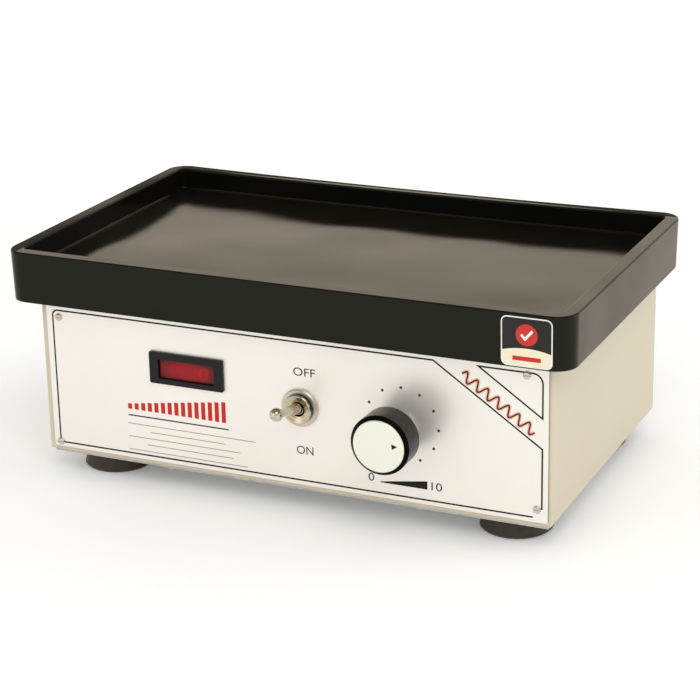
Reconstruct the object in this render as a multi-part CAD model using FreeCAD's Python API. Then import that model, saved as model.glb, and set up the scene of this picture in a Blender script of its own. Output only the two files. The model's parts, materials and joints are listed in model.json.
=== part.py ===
import FreeCAD, Part
import math
import os

# Vibrating table: a sheet steel box with an electromagnet that shakes a sprung
# platform, and a loose rubber tray on the platform. Millimetres, +Z up.
# Sizes are laid out about the middle of the box, with the ground at zero. The
# finished pieces are then shifted so that the middle of the whole footprint is
# at the origin.

os.makedirs("parts", exist_ok=True)
Vec = FreeCAD.Vector
along_x = Vec(1, 0, 0)
along_y = Vec(0, 1, 0)
along_z = Vec(0, 0, 1)

# Fits
thread_gap = 0.05
hole_gap = 0.2
slip_gap = 0.15
running_gap = 0.08
cutter_reach = 5.0
level_tolerance = 0.01
pan_crown = 0.45

# Housing shell
box_width = 280.0
box_depth = 171.2
box_height = 84.0
sheet = 1.2
bend_radius = 1.3
flange_width = 12.0

# Base plate and its screws
base_thickness = 1.5
base_inset = 2.0
base_screw_spacing = 70.0
base_screw_radius = 1.75
base_screw_head_radius = 3.4
base_screw_head_height = 2.2
base_screw_length = 8.0
base_screw_slot = 0.9

# Feet and foot screws
foot_height = 11.4
foot_radius = 18.5
foot_taper = 2.4
foot_edge = 1.0
foot_inset_x = 26.7
foot_inset_y = 25.9
foot_recess_radius = 7.0
foot_recess_depth = 5.5
foot_screw_radius = 2.5
foot_screw_head_radius = 4.75
foot_screw_head_height = 3.4
foot_screw_grip = 12.0
foot_screw_slot = 1.3

# Front plate and its screws
plate_thickness = 0.8
plate_inset = 2.5
plate_inset_left = 3.6
plate_inset_right = 1.4
plate_corner = 1.5
plate_screw_radius = 1.3
plate_screw_head_radius = 2.0
plate_screw_head_height = 1.0
plate_screw_length = 7.0
plate_screw_slot = 0.5
# Each screw: which side, which end, and how far in from the box's edges
plate_screw_places = [
    (-1, 1, 10.9, 9.2),
    (1, 1, 12.4, 6.8),
    (-1, -1, 7.3, 5.2),
    (1, -1, 6.9, 9.3),
]

# Display
display_x = -54.75
display_height = 55.0
bezel_width = 42.1
bezel_height = 17.1
bezel_proud = 1.4
bezel_corner = 1.0
bezel_flange = 1.5
bezel_depth = 12.0
bezel_lip = 1.5
bezel_bevel = 0.3
window_width = 31.3
window_height = 10.0
window_drop = 0.5
lens_lap = 0.8
lens_thickness = 2.0
clip_width = 6.0
clip_length = 2.5
clip_reach = 0.9
digit_margin = 1.2
display_board_margin = 3.0
board_thickness = 1.6

# Toggle switch
switch_x = 8.7
switch_height = 44.3
bush_radius = 7.75
bush_proud = 4.6
bush_behind = 7.0
bush_bore_radius = 3.9
dish_radius = 6.9
dish_depth = 1.2
dress_nut_radius = 9.9
dress_nut_thickness = 2.0
dress_nut_chamfer = 0.6
back_nut_flats = 22.0
back_nut_thickness = 3.5
switch_body_width = 20.0
switch_body_height = 34.0
switch_body_depth = 27.0
tag_width = 4.8
tag_thickness = 0.8
tag_length = 9.0
tag_offset_x = 5.0
tag_offset_z = 10.0
lever_tilt = 12.7
lever_pivot_proud = 1.0
lever_length = 26.45
lever_root_radius = 2.9
lever_neck_radius = 1.9
lever_ball_radius = 3.4

# Potentiometer and knob
pot_x = 63.0
pot_height = 42.0
pot_radius = 12.0
pot_depth = 11.0
pot_bush_radius = 4.75
pot_bush_proud = 8.0
pot_nut_flats = 14.0
pot_nut_thickness = 2.5
pot_tag_width = 2.0
pot_tag_thickness = 0.6
pot_tag_length = 7.0
pot_tag_spacing = 5.0
shaft_radius = 3.0
shaft_seat = 5.5
knob_stand_off = 13.0
knob_radius = 15.2
knob_depth = 15.0
knob_draft = 0.1
knob_rear_edge = 0.6
knob_front_edge = 1.7
knob_socket = 10.0
knob_cap_radius = 13.2
knob_cap_thickness = 1.2
knob_cap_seat = 0.8
knob_cap_chamfer = 0.3
grub_radius = 1.5
grub_length = 7.0
grub_height = 5.0

# Electromagnet
core_width = 66.0
core_depth = 36.0
core_height = 44.0
centre_leg = 22.0
outer_leg = 11.0
yoke = 11.0
bobbin_wall = 1.5
bobbin_flange = 2.0
bobbin_top_gap = 1.0
coil_edge = 4.0
coil_side_gap = 0.8
clamp_thickness = 3.0
clamp_foot = 16.0
rivet_radius = 2.0
rivet_head_radius = 3.5
rivet_head_height = 2.0
rivet_inset = 8.0
clamp_screw_radius = 2.0
clamp_screw_head_radius = 3.5
clamp_screw_head_height = 2.6
clamp_screw_tail = 1.0
clamp_screw_slot = 1.0
clamp_screw_inset = 8.0
air_gap = 1.6

# Armature and its columns
armature_thickness = 12.0
column_radius = 6.0
column_x = 20.0
column_passage = 10.0
column_screw_radius = 2.5
column_screw_head_radius = 4.4
column_screw_grip = 9.0
column_screw_slot = 1.1

# Platform, springs and their seats
platform_gap = 7.0
platform_thickness = 3.0
platform_corner = 8.0
post_flats = 12.0
seat_radius = 9.0
seat_thickness = 3.0
spigot_radius = 5.0
spigot_length = 5.0
seat_screw_radius = 2.0
seat_screw_head_radius = 3.8
seat_screw_grip = 6.0
seat_screw_slot = 1.0
spring_length = 31.0
spring_outer_radius = 8.5
spring_wire_radius = 1.2
spring_turns = 6
spring_end_gap = 0.7
spring_seat_gap = 0.1
spring_passage = 3.5

# Rubber tray
tray_overhang_x = 13.7
tray_overhang_y = 7.75
tray_shift_x = -2.1
tray_shift_y = -0.5
tray_corner = 11.0
tray_inner_corner = 3.0
tray_draft = 0.5
tray_rear_bow = 4.0
tray_rim_width = 7.4
tray_rim_edge = 1.0
tray_depth = 12.0
tray_floor_edge = 1.5
tray_floor = 4.0
tray_skirt = 10.8
tray_skirt_wall = 4.6
tray_play_x = 2.8
tray_play_y = 1.6

# Control board and what stands on it
control_board_inset_x = 63.0
control_board_width = 55.0
control_board_depth = 80.0
standoff_height = 10.0
standoff_flats = 6.0
standoff_stem_radius = 2.0
standoff_inset = 4.5
board_screw_radius = 1.5
board_screw_head_radius = 2.8
board_screw_head_height = 1.8
board_screw_grip = 6.0
board_screw_slot = 0.8
sink_width = 12.0
sink_length = 32.0
sink_height = 25.0
sink_back = 3.0
sink_fin = 1.6
sink_fins = 5
triac_width = 10.0
triac_thickness = 4.5
triac_height = 15.0
triac_lift = 6.0
triac_lead = 0.8
triac_lead_spacing = 2.5
block_ways = 4
block_pitch = 6.0
block_depth = 9.0
block_height = 11.0
block_well_radius = 1.9
block_well_depth = 4.0
can_radius = 8.0
can_height = 25.0
can_edge = 1.0
can_gap = 2.0

# Rear inlet, fuse holder and vents
inlet_x = 70.0
inlet_height = 38.0
inlet_flange_width = 48.0
inlet_flange_height = 24.0
inlet_flange_thickness = 2.5
inlet_flange_corner = 4.0
inlet_body_width = 27.4
inlet_body_height = 19.8
inlet_body_depth = 18.0
socket_width = 24.4
socket_height = 16.4
socket_depth = 16.0
socket_corner = 1.5
pin_width = 2.0
pin_height = 4.0
pin_length = 11.0
earth_pin_extra = 2.0
pin_spacing = 7.0
pin_offset = 2.0
pin_tag = 8.0
inlet_screw_spacing = 40.0
inlet_screw_radius = 1.5
inlet_screw_head_radius = 2.8
inlet_screw_head_height = 1.7
inlet_screw_length = 8.0
inlet_screw_slot = 0.8
fuse_x = 26.0
fuse_height = 38.0
fuse_body_radius = 6.6
fuse_body_depth = 34.0
fuse_flange_radius = 8.5
fuse_flange_thickness = 2.0
fuse_bore_radius = 5.4
fuse_bore_depth = 28.0
fuse_nut_flats = 18.0
fuse_nut_thickness = 4.0
fuse_cap_radius = 7.0
fuse_cap_height = 6.5
fuse_cap_gap = 0.3
fuse_cap_slot_width = 1.4
fuse_cap_slot_depth = 1.6
fuse_barrel_length = 22.0
vent_count = 8
vent_width = 3.0
vent_length = 34.0
vent_pitch = 8.0
vent_x = -62.0
vent_height = 40.0
vent_roundness = 0.45

# Wiring: how far each lead runs out from its ends before it turns
wire_radius = 0.9
wire_bend = 4.0
wire_lead_out = 5.0
wire_inlet_run = 16.0
wire_earth_run = 12.5
wire_side_run = 8.0
wire_coil_run = 12.0
wire_coil_step = 4.0
wire_coil_x = -8.0
wire_coil_height = 29.0
wire_pot_run = 12.0
wire_pot_step = 3.0
wire_pot_spread = 4.0
wire_low = 6.5
fuse_lead_setback = 24.0
ribbon_width = 10.0
ribbon_thickness = 0.8
ribbon_height = 6.0
ribbon_run = 11.0
ribbon_shift = -16.0
ribbon_landing = 4.0

# Levels, worked out from the ground up
base_low = foot_height
base_top = base_low + base_thickness
box_top = base_top + box_height
platform_low = box_top + platform_gap
platform_top = platform_low + platform_thickness
tray_low = platform_top - tray_skirt
floor_top = platform_top + tray_floor
tray_top = floor_top + tray_depth
seat_low = platform_low - seat_thickness
collar_top = seat_low - spring_length
core_top = base_top + core_height
armature_low = core_top + air_gap
armature_top = armature_low + armature_thickness
panel = plate_thickness + sheet
front_face = -box_depth / 2 - plate_thickness
rear_face = box_depth / 2
core_window = (core_width - centre_leg - 2 * outer_leg) / 2
tray_width = box_width + 2 * tray_overhang_x
tray_length = box_depth + 2 * tray_overhang_y
platform_width = tray_width - 2 * (tray_draft + tray_skirt_wall + tray_play_x)
platform_length = tray_length - 2 * (tray_draft + tray_skirt_wall + tray_play_y)
lens_width = window_width + 2 * lens_lap
lens_height = window_height + 2 * lens_lap
window_level = display_height - window_drop
lens_front = bezel_proud - bezel_lip
lens_back = lens_front - lens_thickness
bezel_body_width = bezel_width - 2 * bezel_flange
bezel_body_height = bezel_height - 2 * bezel_flange
knob_front = knob_stand_off + knob_depth
foot_places = [
    (side * (box_width / 2 - foot_inset_x), end * (box_depth / 2 - foot_inset_y))
    for end in (-1, 1)
    for side in (-1, 1)
]
corner_names = ["front_left", "front_right", "rear_left", "rear_right"]
control_board_x = control_board_inset_x - box_width / 2
board_low = base_top + standoff_height
board_top = board_low + board_thickness


# Shape helpers

def block(x0, x1, y0, y1, z0, z1):
    return Part.makeBox(x1 - x0, y1 - y0, z1 - z0, Vec(x0, y0, z0))


def rod(radius, x, y, z0, z1):
    return Part.makeCylinder(radius, z1 - z0, Vec(x, y, z0))


def prism(width, height, z0, z1, x=0.0, y=0.0):
    return block(x - width / 2, x + width / 2, y - height / 2, y + height / 2, z0, z1)


def rounded_wire(width, height, corner, z, x=0.0, y=0.0):
    # A rectangle with round corners, level at z, anticlockwise from its lower right
    half_w = width / 2
    half_h = height / 2
    bow = corner * (1 - math.sqrt(0.5))
    edges = []
    corners = [(1, -1), (1, 1), (-1, 1), (-1, -1)]
    arcs = []
    for turn, (sx, sy) in enumerate(corners):
        on_x = Vec(x + sx * (half_w - corner), y + sy * half_h, z)
        on_y = Vec(x + sx * half_w, y + sy * (half_h - corner), z)
        middle = Vec(x + sx * (half_w - bow), y + sy * (half_h - bow), z)
        ends = (on_x, on_y) if turn % 2 == 0 else (on_y, on_x)
        arcs.append((ends[0], middle, ends[1]))
    for turn, (start, middle, end) in enumerate(arcs):
        edges.append(Part.Arc(start, middle, end).toShape())
        edges.append(Part.makeLine(end, arcs[(turn + 1) % 4][0]))
    return Part.Wire(edges)


def rounded_prism(width, height, corner, z0, z1, x=0.0, y=0.0):
    face = Part.Face(rounded_wire(width, height, corner, z0, x, y))
    return face.extrude(Vec(0, 0, z1 - z0))


def hex_bar(flats, x, y, z0, z1):
    reach = flats / math.sqrt(3)
    points = []
    for step in range(7):
        angle = math.radians(60 * step)
        points.append(Vec(x + reach * math.cos(angle), y + reach * math.sin(angle), z0))
    return Part.Face(Part.makePolygon(points)).extrude(Vec(0, 0, z1 - z0))


def turned(profile):
    # A solid of revolution about Z from (radius, height) points
    points = [Vec(radius, 0, height) for radius, height in profile]
    points.append(points[0])
    return Part.Face(Part.makePolygon(points)).revolve(Vec(0, 0, 0), along_z, 360)


def pan_screw(radius, head_radius, head_height, length, x=0.0, y=0.0, z=0.0, slot=0.0):
    # Head above z, shank below it
    crown = head_height * pan_crown
    screw = turned([
        (0, -length),
        (radius, -length),
        (radius, 0),
        (head_radius, 0),
        (head_radius, head_height - crown),
        (head_radius - crown, head_height),
        (0, head_height),
    ])
    if slot > 0:
        screw = screw.cut(prism(2 * head_radius + slot, slot, head_height - slot, head_height + slot))
    screw.translate(Vec(x, y, z))
    return screw


def flat_screw(radius, head_radius, length, slot, x, y, z, gap=0.0):
    # A countersunk screw, or with a gap the unslotted room for it, with its flat head level with z
    cone = head_radius - radius
    screw = turned([
        (0, -length),
        (radius + gap, -length),
        (radius + gap, -cone),
        (head_radius + gap, 0),
        (0, 0),
    ])
    if gap == 0:
        screw = screw.cut(prism(2 * head_radius + slot, slot, -slot, slot))
    screw.translate(Vec(x, y, z))
    return screw


def flipped(shape, z):
    # Turned upside down about a level
    turned_over = shape.copy()
    turned_over.rotate(Vec(0, 0, z), along_x, 180)
    return turned_over


def on_front(shape, x, height):
    # Local +Z stands out of the front plate, local +Y points up
    placed = shape.copy()
    placed.rotate(Vec(0, 0, 0), along_x, 90)
    placed.translate(Vec(x, front_face, base_top + height))
    return placed


def on_rear(shape, x, height):
    # Local +Z stands out of the rear wall, local +Y points up
    placed = shape.copy()
    placed.rotate(Vec(0, 0, 0), along_x, 90)
    placed.rotate(Vec(0, 0, 0), along_z, 180)
    placed.translate(Vec(x, rear_face, base_top + height))
    return placed


def without(shape, cutters):
    for cutter in cutters:
        shape = shape.cut(cutter)
    return shape


def joined(first, others):
    shape = first
    for other in others:
        shape = shape.fuse(other)
    return shape.removeSplitter()


def group(shapes):
    return Part.makeCompound(shapes)


# Holes that several sheets share

def plate_screw_points():
    points = []
    for side, end, inset_x, inset_z in plate_screw_places:
        height = inset_z if end < 0 else box_height - inset_z
        points.append((side * (box_width / 2 - inset_x), height))
    return points


def front_holes(screw_gap):
    through = (-panel - cutter_reach, cutter_reach)
    display_cut = prism(bezel_body_width + 2 * slip_gap, bezel_body_height + 2 * slip_gap, *through)
    holes = [
        on_front(display_cut, display_x, display_height),
        on_front(rod(bush_radius + hole_gap, 0, 0, *through), switch_x, switch_height),
        on_front(rod(pot_bush_radius + hole_gap, 0, 0, *through), pot_x, pot_height),
    ]
    for x, height in plate_screw_points():
        holes.append(on_front(rod(plate_screw_radius + screw_gap, 0, 0, *through), x, height))
    return holes


def base_screw_points():
    y = box_depth / 2 - sheet - flange_width / 2
    return [(step * base_screw_spacing, end * y) for end in (-1, 1) for step in (-1, 0, 1)]


def clamp_screw_points():
    x = core_width / 2 - clamp_screw_inset
    y = core_depth / 2 + clamp_thickness + (clamp_foot - clamp_thickness) / 2 + rivet_head_height / 2
    return [(side * x, end * y) for end in (-1, 1) for side in (-1, 1)]


def standoff_points():
    x = control_board_width / 2 - standoff_inset
    y = control_board_depth / 2 - standoff_inset
    return [(control_board_x + side * x, end * y) for end in (-1, 1) for side in (-1, 1)]


# Casing

def housing_shell():
    outer = prism(box_width, box_depth, base_top, box_top)
    outer = outer.makeFillet(bend_radius, outer.Edges)
    inner_low = base_top + sheet
    inner = prism(box_width - 2 * sheet, box_depth - 2 * sheet, inner_low, box_top - sheet)
    inner_bend = max(bend_radius - sheet, sheet / 4)
    inner = inner.makeFillet(inner_bend, inner.Edges)
    lip = 2 * (sheet + flange_width)
    mouth = prism(box_width - lip, box_depth - lip, base_top - cutter_reach, inner_low + sheet)
    top_cut = (box_top - sheet - cutter_reach, box_top + cutter_reach)
    passage_width = 2 * (column_x + column_radius + column_passage)
    passage_length = 2 * (column_radius + column_passage)
    cutters = [inner, mouth, prism(passage_width, passage_length, *top_cut)]
    for x, y in foot_places:
        cutters.append(rod(spring_outer_radius + spring_passage, x, y, *top_cut))
    for x, y in base_screw_points():
        cutters.append(rod(base_screw_radius + thread_gap, x, y, base_top - cutter_reach, inner_low + sheet))
    cutters += front_holes(thread_gap)
    cutters += rear_holes()
    return without(outer, cutters)


def rear_holes():
    through = (-sheet - cutter_reach, cutter_reach)
    inlet_cut = prism(inlet_body_width + 2 * slip_gap, inlet_body_height + 2 * slip_gap, *through)
    holes = [
        on_rear(inlet_cut, inlet_x, inlet_height),
        on_rear(rod(fuse_body_radius + hole_gap, 0, 0, *through), fuse_x, fuse_height),
    ]
    for side in (-1, 1):
        x = inlet_x + side * inlet_screw_spacing / 2
        holes.append(on_rear(rod(inlet_screw_radius + thread_gap, 0, 0, *through), x, inlet_height))
    slot = rounded_prism(vent_width, vent_length, vent_width * vent_roundness, *through)
    for index in range(vent_count):
        x = vent_x + (index - (vent_count - 1) / 2) * vent_pitch
        holes.append(on_rear(slot, x, vent_height))
    return holes


def base_plate():
    plate = prism(box_width - 2 * base_inset, box_depth - 2 * base_inset, base_low, base_top)
    through = (base_low - cutter_reach, base_top + cutter_reach)
    cutters = [rod(foot_screw_radius + hole_gap, x, y, *through) for x, y in foot_places]
    cutters += [rod(base_screw_radius + hole_gap, x, y, *through) for x, y in base_screw_points()]
    cutters += [rod(clamp_screw_radius + hole_gap, x, y, *through) for x, y in clamp_screw_points()]
    cutters += [rod(standoff_stem_radius + thread_gap, x, y, *through) for x, y in standoff_points()]
    return without(plate, cutters)


def base_screws():
    screw = pan_screw(
        base_screw_radius,
        base_screw_head_radius,
        base_screw_head_height,
        base_screw_length,
        slot=base_screw_slot,
    )
    screws = []
    for x, y in base_screw_points():
        turned_over = flipped(screw, 0)
        turned_over.translate(Vec(x, y, base_low))
        screws.append(turned_over)
    return group(screws)


def foot(x, y):
    body = turned([
        (0, 0),
        (foot_radius - foot_edge, 0),
        (foot_radius, foot_edge),
        (foot_radius - foot_taper, foot_height),
        (0, foot_height),
    ])
    recess = rod(foot_recess_radius, 0, 0, -cutter_reach, foot_recess_depth)
    hole = rod(foot_screw_radius + hole_gap, 0, 0, -cutter_reach, foot_height + cutter_reach)
    body = without(body, [recess, hole])
    body.translate(Vec(x, y, 0))
    return body


def foot_screws():
    length = base_top - foot_recess_depth + foot_screw_grip
    screw = pan_screw(
        foot_screw_radius,
        foot_screw_head_radius,
        foot_screw_head_height,
        length,
        slot=foot_screw_slot,
    )
    screws = []
    for x, y in foot_places:
        turned_over = flipped(screw, 0)
        turned_over.translate(Vec(x, y, foot_recess_depth))
        screws.append(turned_over)
    return group(screws)


# Front plate and display

def front_plate():
    width = box_width - plate_inset_left - plate_inset_right
    height = box_height - 2 * plate_inset
    sheet_blank = rounded_prism(width, height, plate_corner, -plate_thickness, 0)
    plate = on_front(sheet_blank, (plate_inset_left - plate_inset_right) / 2, box_height / 2)
    return without(plate, front_holes(hole_gap))


def plate_screws():
    screw = pan_screw(
        plate_screw_radius,
        plate_screw_head_radius,
        plate_screw_head_height,
        plate_screw_length,
        slot=plate_screw_slot,
    )
    return group([on_front(screw, x, height) for x, height in plate_screw_points()])


def display_bezel():
    flange = rounded_prism(bezel_width, bezel_height, bezel_corner, 0, bezel_proud)
    body = prism(bezel_body_width, bezel_body_height, -bezel_depth, 0)
    clip_top = -panel - slip_gap
    clips = []
    for side in (-1, 1):
        x = side * bezel_body_width / 2
        clips.append(prism(2 * clip_reach, clip_width, clip_top - clip_length, clip_top, x))
    outline = joined(flange, [body] + clips)
    mouth = rounded_wire(
        window_width + 2 * bezel_bevel, window_height + 2 * bezel_bevel, bezel_corner, bezel_proud
    )
    throat = rounded_wire(window_width, window_height, bezel_corner, lens_front)
    window = Part.makeLoft([mouth, throat], True, True)
    cavity = prism(
        lens_width + 2 * slip_gap, lens_height + 2 * slip_gap, -bezel_depth - cutter_reach, lens_front
    )
    opening = group([window, cavity])
    opening.translate(Vec(0, -window_drop, 0))
    return on_front(without(outline, opening.Solids), display_x, display_height)


def display_lens():
    return on_front(prism(lens_width, lens_height, lens_back, lens_front), display_x, window_level)


def display_digits():
    width = lens_width - 2 * digit_margin
    height = lens_height - 2 * digit_margin
    return on_front(prism(width, height, -bezel_depth, lens_back), display_x, window_level)


def display_board():
    width = bezel_body_width + 2 * display_board_margin
    height = bezel_body_height + 2 * display_board_margin
    board = prism(width, height, -bezel_depth - board_thickness, -bezel_depth)
    return on_front(board, display_x, display_height)


# Toggle switch

def switch_bush():
    low = -panel - bush_behind
    chamfer = (bush_radius - dish_radius) / 2
    bush = turned([
        (bush_bore_radius, low),
        (bush_radius, low),
        (bush_radius, bush_proud - chamfer),
        (bush_radius - chamfer, bush_proud),
        (dish_radius, bush_proud),
        (bush_bore_radius, bush_proud - dish_depth),
    ])
    return on_front(bush, switch_x, switch_height)


def switch_nut():
    bore = bush_radius + thread_gap
    ring = turned([
        (bore, 0),
        (dress_nut_radius, 0),
        (dress_nut_radius, dress_nut_thickness - dress_nut_chamfer),
        (dress_nut_radius - dress_nut_chamfer, dress_nut_thickness),
        (bore, dress_nut_thickness),
    ])
    return on_front(ring, switch_x, switch_height)


def switch_back_nut():
    low = -panel - back_nut_thickness
    nut = hex_bar(back_nut_flats, 0, 0, low, -panel)
    nut = nut.cut(rod(bush_radius + thread_gap, 0, 0, low - cutter_reach, cutter_reach))
    return on_front(nut, switch_x, switch_height)


def switch_body():
    front = -panel - bush_behind
    body = prism(switch_body_width, switch_body_height, front - switch_body_depth, front)
    return on_front(body, switch_x, switch_height)


def switch_tag_places():
    return [(sx * tag_offset_x, sz * tag_offset_z) for sx in (-1, 1) for sz in (-1, 1)]


def switch_terminals():
    high = -panel - bush_behind - switch_body_depth
    tags = [prism(tag_thickness, tag_width, high - tag_length, high, x, y) for x, y in switch_tag_places()]
    return group([on_front(tag, switch_x, switch_height) for tag in tags])


def switch_lever():
    pivot_ball = Part.makeSphere(bush_bore_radius - running_gap)
    stem = turned([
        (0, 0),
        (lever_root_radius, 0),
        (lever_root_radius, bush_proud - lever_pivot_proud),
        (lever_neck_radius, lever_length),
        (0, lever_length),
    ])
    tip = Part.makeSphere(lever_ball_radius, Vec(0, 0, lever_length))
    lever = joined(stem, [pivot_ball, tip])
    lever.rotate(Vec(0, 0, 0), along_x, -lever_tilt)
    lever.translate(Vec(0, 0, lever_pivot_proud))
    return on_front(lever, switch_x, switch_height)


# Potentiometer and knob

def pot_body():
    low = -panel - pot_depth
    case = rod(pot_radius, 0, 0, low, -panel)
    bush = rod(pot_bush_radius, 0, 0, -panel, pot_bush_proud)
    bore_low = -panel - shaft_seat - running_gap
    bore = rod(shaft_radius + running_gap, 0, 0, bore_low, pot_bush_proud + cutter_reach)
    return on_front(joined(case, [bush]).cut(bore), pot_x, pot_height)


def pot_nut():
    nut = hex_bar(pot_nut_flats, 0, 0, 0, pot_nut_thickness)
    nut = nut.cut(rod(pot_bush_radius + thread_gap, 0, 0, -cutter_reach, pot_nut_thickness + cutter_reach))
    return on_front(nut, pot_x, pot_height)


def pot_terminals():
    high = -panel - pot_depth
    tags = []
    for step in (-1, 0, 1):
        tag = prism(pot_tag_width, pot_tag_thickness, high - pot_tag_length, high, step * pot_tag_spacing)
        tags.append(on_front(tag, pot_x, pot_height))
    return group(tags)


def pot_shaft():
    shaft = rod(shaft_radius, 0, 0, -panel - shaft_seat, knob_stand_off + knob_socket)
    return on_front(shaft, pot_x, pot_height)


def knob_body():
    body = turned([
        (0, knob_stand_off),
        (knob_radius - knob_draft - knob_rear_edge, knob_stand_off),
        (knob_radius - knob_draft, knob_stand_off + knob_rear_edge),
        (knob_radius, knob_front - knob_front_edge),
        (knob_radius - knob_front_edge, knob_front),
        (0, knob_front),
    ])
    socket_top = knob_stand_off + knob_socket + slip_gap
    socket = rod(shaft_radius + thread_gap, 0, 0, knob_stand_off - cutter_reach, socket_top)
    recess = rod(knob_cap_radius + slip_gap, 0, 0, knob_front - knob_cap_seat, knob_front + cutter_reach)
    screw_start = Vec(0, 0, knob_stand_off + grub_height)
    screw_way = Part.makeCylinder(grub_radius + thread_gap, knob_radius + cutter_reach, screw_start, -along_x)
    return on_front(without(body, [socket, recess, screw_way]), pot_x, pot_height)


def knob_cap():
    low = knob_front - knob_cap_seat
    high = low + knob_cap_thickness
    cap = turned([
        (0, low),
        (knob_cap_radius, low),
        (knob_cap_radius, high - knob_cap_chamfer),
        (knob_cap_radius - knob_cap_chamfer, high),
        (0, high),
    ])
    return on_front(cap, pot_x, pot_height)


def knob_grub_screw():
    start = Vec(-shaft_radius - thread_gap, 0, knob_stand_off + grub_height)
    return on_front(Part.makeCylinder(grub_radius, grub_length, start, -along_x), pot_x, pot_height)


# Electromagnet

def rivet_points():
    height = base_top + clamp_thickness + rivet_head_radius + slip_gap
    return [(side * (core_width / 2 - rivet_inset), height) for side in (-1, 1)]


def rivet_holes(reach):
    holes = []
    for x, z in rivet_points():
        holes.append(Part.makeCylinder(rivet_radius + thread_gap, 2 * reach, Vec(x, -reach, z), along_y))
    return holes


def magnet_core():
    core = prism(core_width, core_depth, base_top, core_top)
    levels = (base_top + yoke, core_top + cutter_reach)
    windows = []
    for side in (-1, 1):
        x = side * (centre_leg + core_window) / 2
        windows.append(prism(core_window, core_depth + cutter_reach, *levels, x))
    return without(core, windows + rivet_holes(core_depth))


def bobbin_tube():
    width = centre_leg + 2 * (slip_gap + bobbin_wall)
    length = core_depth + 2 * (slip_gap + bobbin_wall)
    return width, length


def coil_outline():
    # The coil fills the core window, less its working gap, and is as thick front and rear
    width, length = bobbin_tube()
    build = core_window - slip_gap - bobbin_wall - coil_side_gap
    return width + 2 * build, length + 2 * build


def bobbin_levels():
    return base_top + yoke, core_top - bobbin_top_gap


def coil_bobbin():
    width, length = bobbin_tube()
    coil_width, coil_length = coil_outline()
    low, high = bobbin_levels()
    tube = prism(width, length, low, high)
    flanges = []
    for z in (low, high - bobbin_flange):
        flanges.append(rounded_prism(coil_width, coil_length, coil_edge, z, z + bobbin_flange))
    bore = prism(
        centre_leg + 2 * slip_gap, core_depth + 2 * slip_gap, low - cutter_reach, high + cutter_reach
    )
    return joined(tube, flanges).cut(bore)


def magnet_coil():
    width, length = bobbin_tube()
    coil_width, coil_length = coil_outline()
    low, high = bobbin_levels()
    winding = rounded_prism(coil_width, coil_length, coil_edge, low + bobbin_flange, high - bobbin_flange)
    return winding.cut(prism(width, length, low - cutter_reach, high + cutter_reach))


def core_clamp(end):
    inner = core_depth / 2
    half = core_width / 2
    sole = block(-half, half, inner, inner + clamp_foot, base_top, base_top + clamp_thickness)
    leg = block(-half, half, inner, inner + clamp_thickness, base_top, base_top + yoke)
    clamp = joined(sole, [leg])
    if end < 0:
        clamp.rotate(Vec(0, 0, 0), along_z, 180)
    through = (base_top - cutter_reach, base_top + clamp_thickness + cutter_reach)
    cutters = [rod(clamp_screw_radius + thread_gap, x, y, *through) for x, y in clamp_screw_points()]
    return without(clamp, cutters + rivet_holes(core_depth))


def core_rivets():
    reach = core_depth / 2 + clamp_thickness
    rivets = []
    for x, z in rivet_points():
        shank = Part.makeCylinder(rivet_radius, 2 * reach, Vec(x, -reach, z), along_y)
        near = Part.makeCylinder(rivet_head_radius, rivet_head_height, Vec(x, -reach, z), -along_y)
        far = Part.makeCylinder(rivet_head_radius, rivet_head_height, Vec(x, reach, z), along_y)
        rivets.append(joined(shank, [near, far]))
    return group(rivets)


def clamp_screws():
    length = base_thickness + clamp_thickness + clamp_screw_tail
    screw = pan_screw(
        clamp_screw_radius,
        clamp_screw_head_radius,
        clamp_screw_head_height,
        length,
        slot=clamp_screw_slot,
    )
    screws = []
    for x, y in clamp_screw_points():
        turned_over = flipped(screw, 0)
        turned_over.translate(Vec(x, y, base_low))
        screws.append(turned_over)
    return group(screws)


# Armature and platform

def column_screws(gap=0.0):
    # One pair down through the platform, one pair up through the armature
    sizes = (column_screw_radius, column_screw_head_radius)
    screws = []
    for side in (-1, 1):
        x = side * column_x
        upper_length = platform_thickness + column_screw_grip
        screws.append(flat_screw(*sizes, upper_length, column_screw_slot, x, 0, platform_top, gap))
        lower_length = armature_thickness + column_screw_grip
        lower = flat_screw(*sizes, lower_length, column_screw_slot, x, 0, armature_low, gap)
        screws.append(flipped(lower, armature_low))
    return screws


def armature():
    bar = prism(core_width, core_depth, armature_low, armature_top)
    return without(bar, column_screws(hole_gap))


def armature_columns():
    tapped = column_screw_grip + slip_gap
    columns = []
    for side in (-1, 1):
        x = side * column_x
        column = rod(column_radius, x, 0, armature_top, platform_low)
        bore_radius = column_screw_radius + thread_gap
        lower = rod(bore_radius, x, 0, armature_top - cutter_reach, armature_top + tapped)
        upper = rod(bore_radius, x, 0, platform_low - tapped, platform_low + cutter_reach)
        columns.append(without(column, [lower, upper]))
    return group(columns)


def armature_screws():
    return group(column_screws())


def platform_plate():
    plate = rounded_prism(platform_width, platform_length, platform_corner, platform_low, platform_top)
    return without(plate, column_screws(hole_gap) + seat_screw_list(hole_gap))


def spring_posts():
    collar_low = collar_top - seat_thickness
    posts = []
    for x, y in foot_places:
        bar = hex_bar(post_flats, x, y, base_top, collar_low)
        collar = rod(seat_radius, x, y, collar_low, collar_top)
        spigot = rod(spigot_radius, x, y, collar_top, collar_top + spigot_length)
        tapped_top = base_top + foot_screw_grip + slip_gap
        tapped = rod(foot_screw_radius + thread_gap, x, y, base_top - cutter_reach, tapped_top)
        posts.append(joined(bar, [collar, spigot]).cut(tapped))
    return group(posts)


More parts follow.
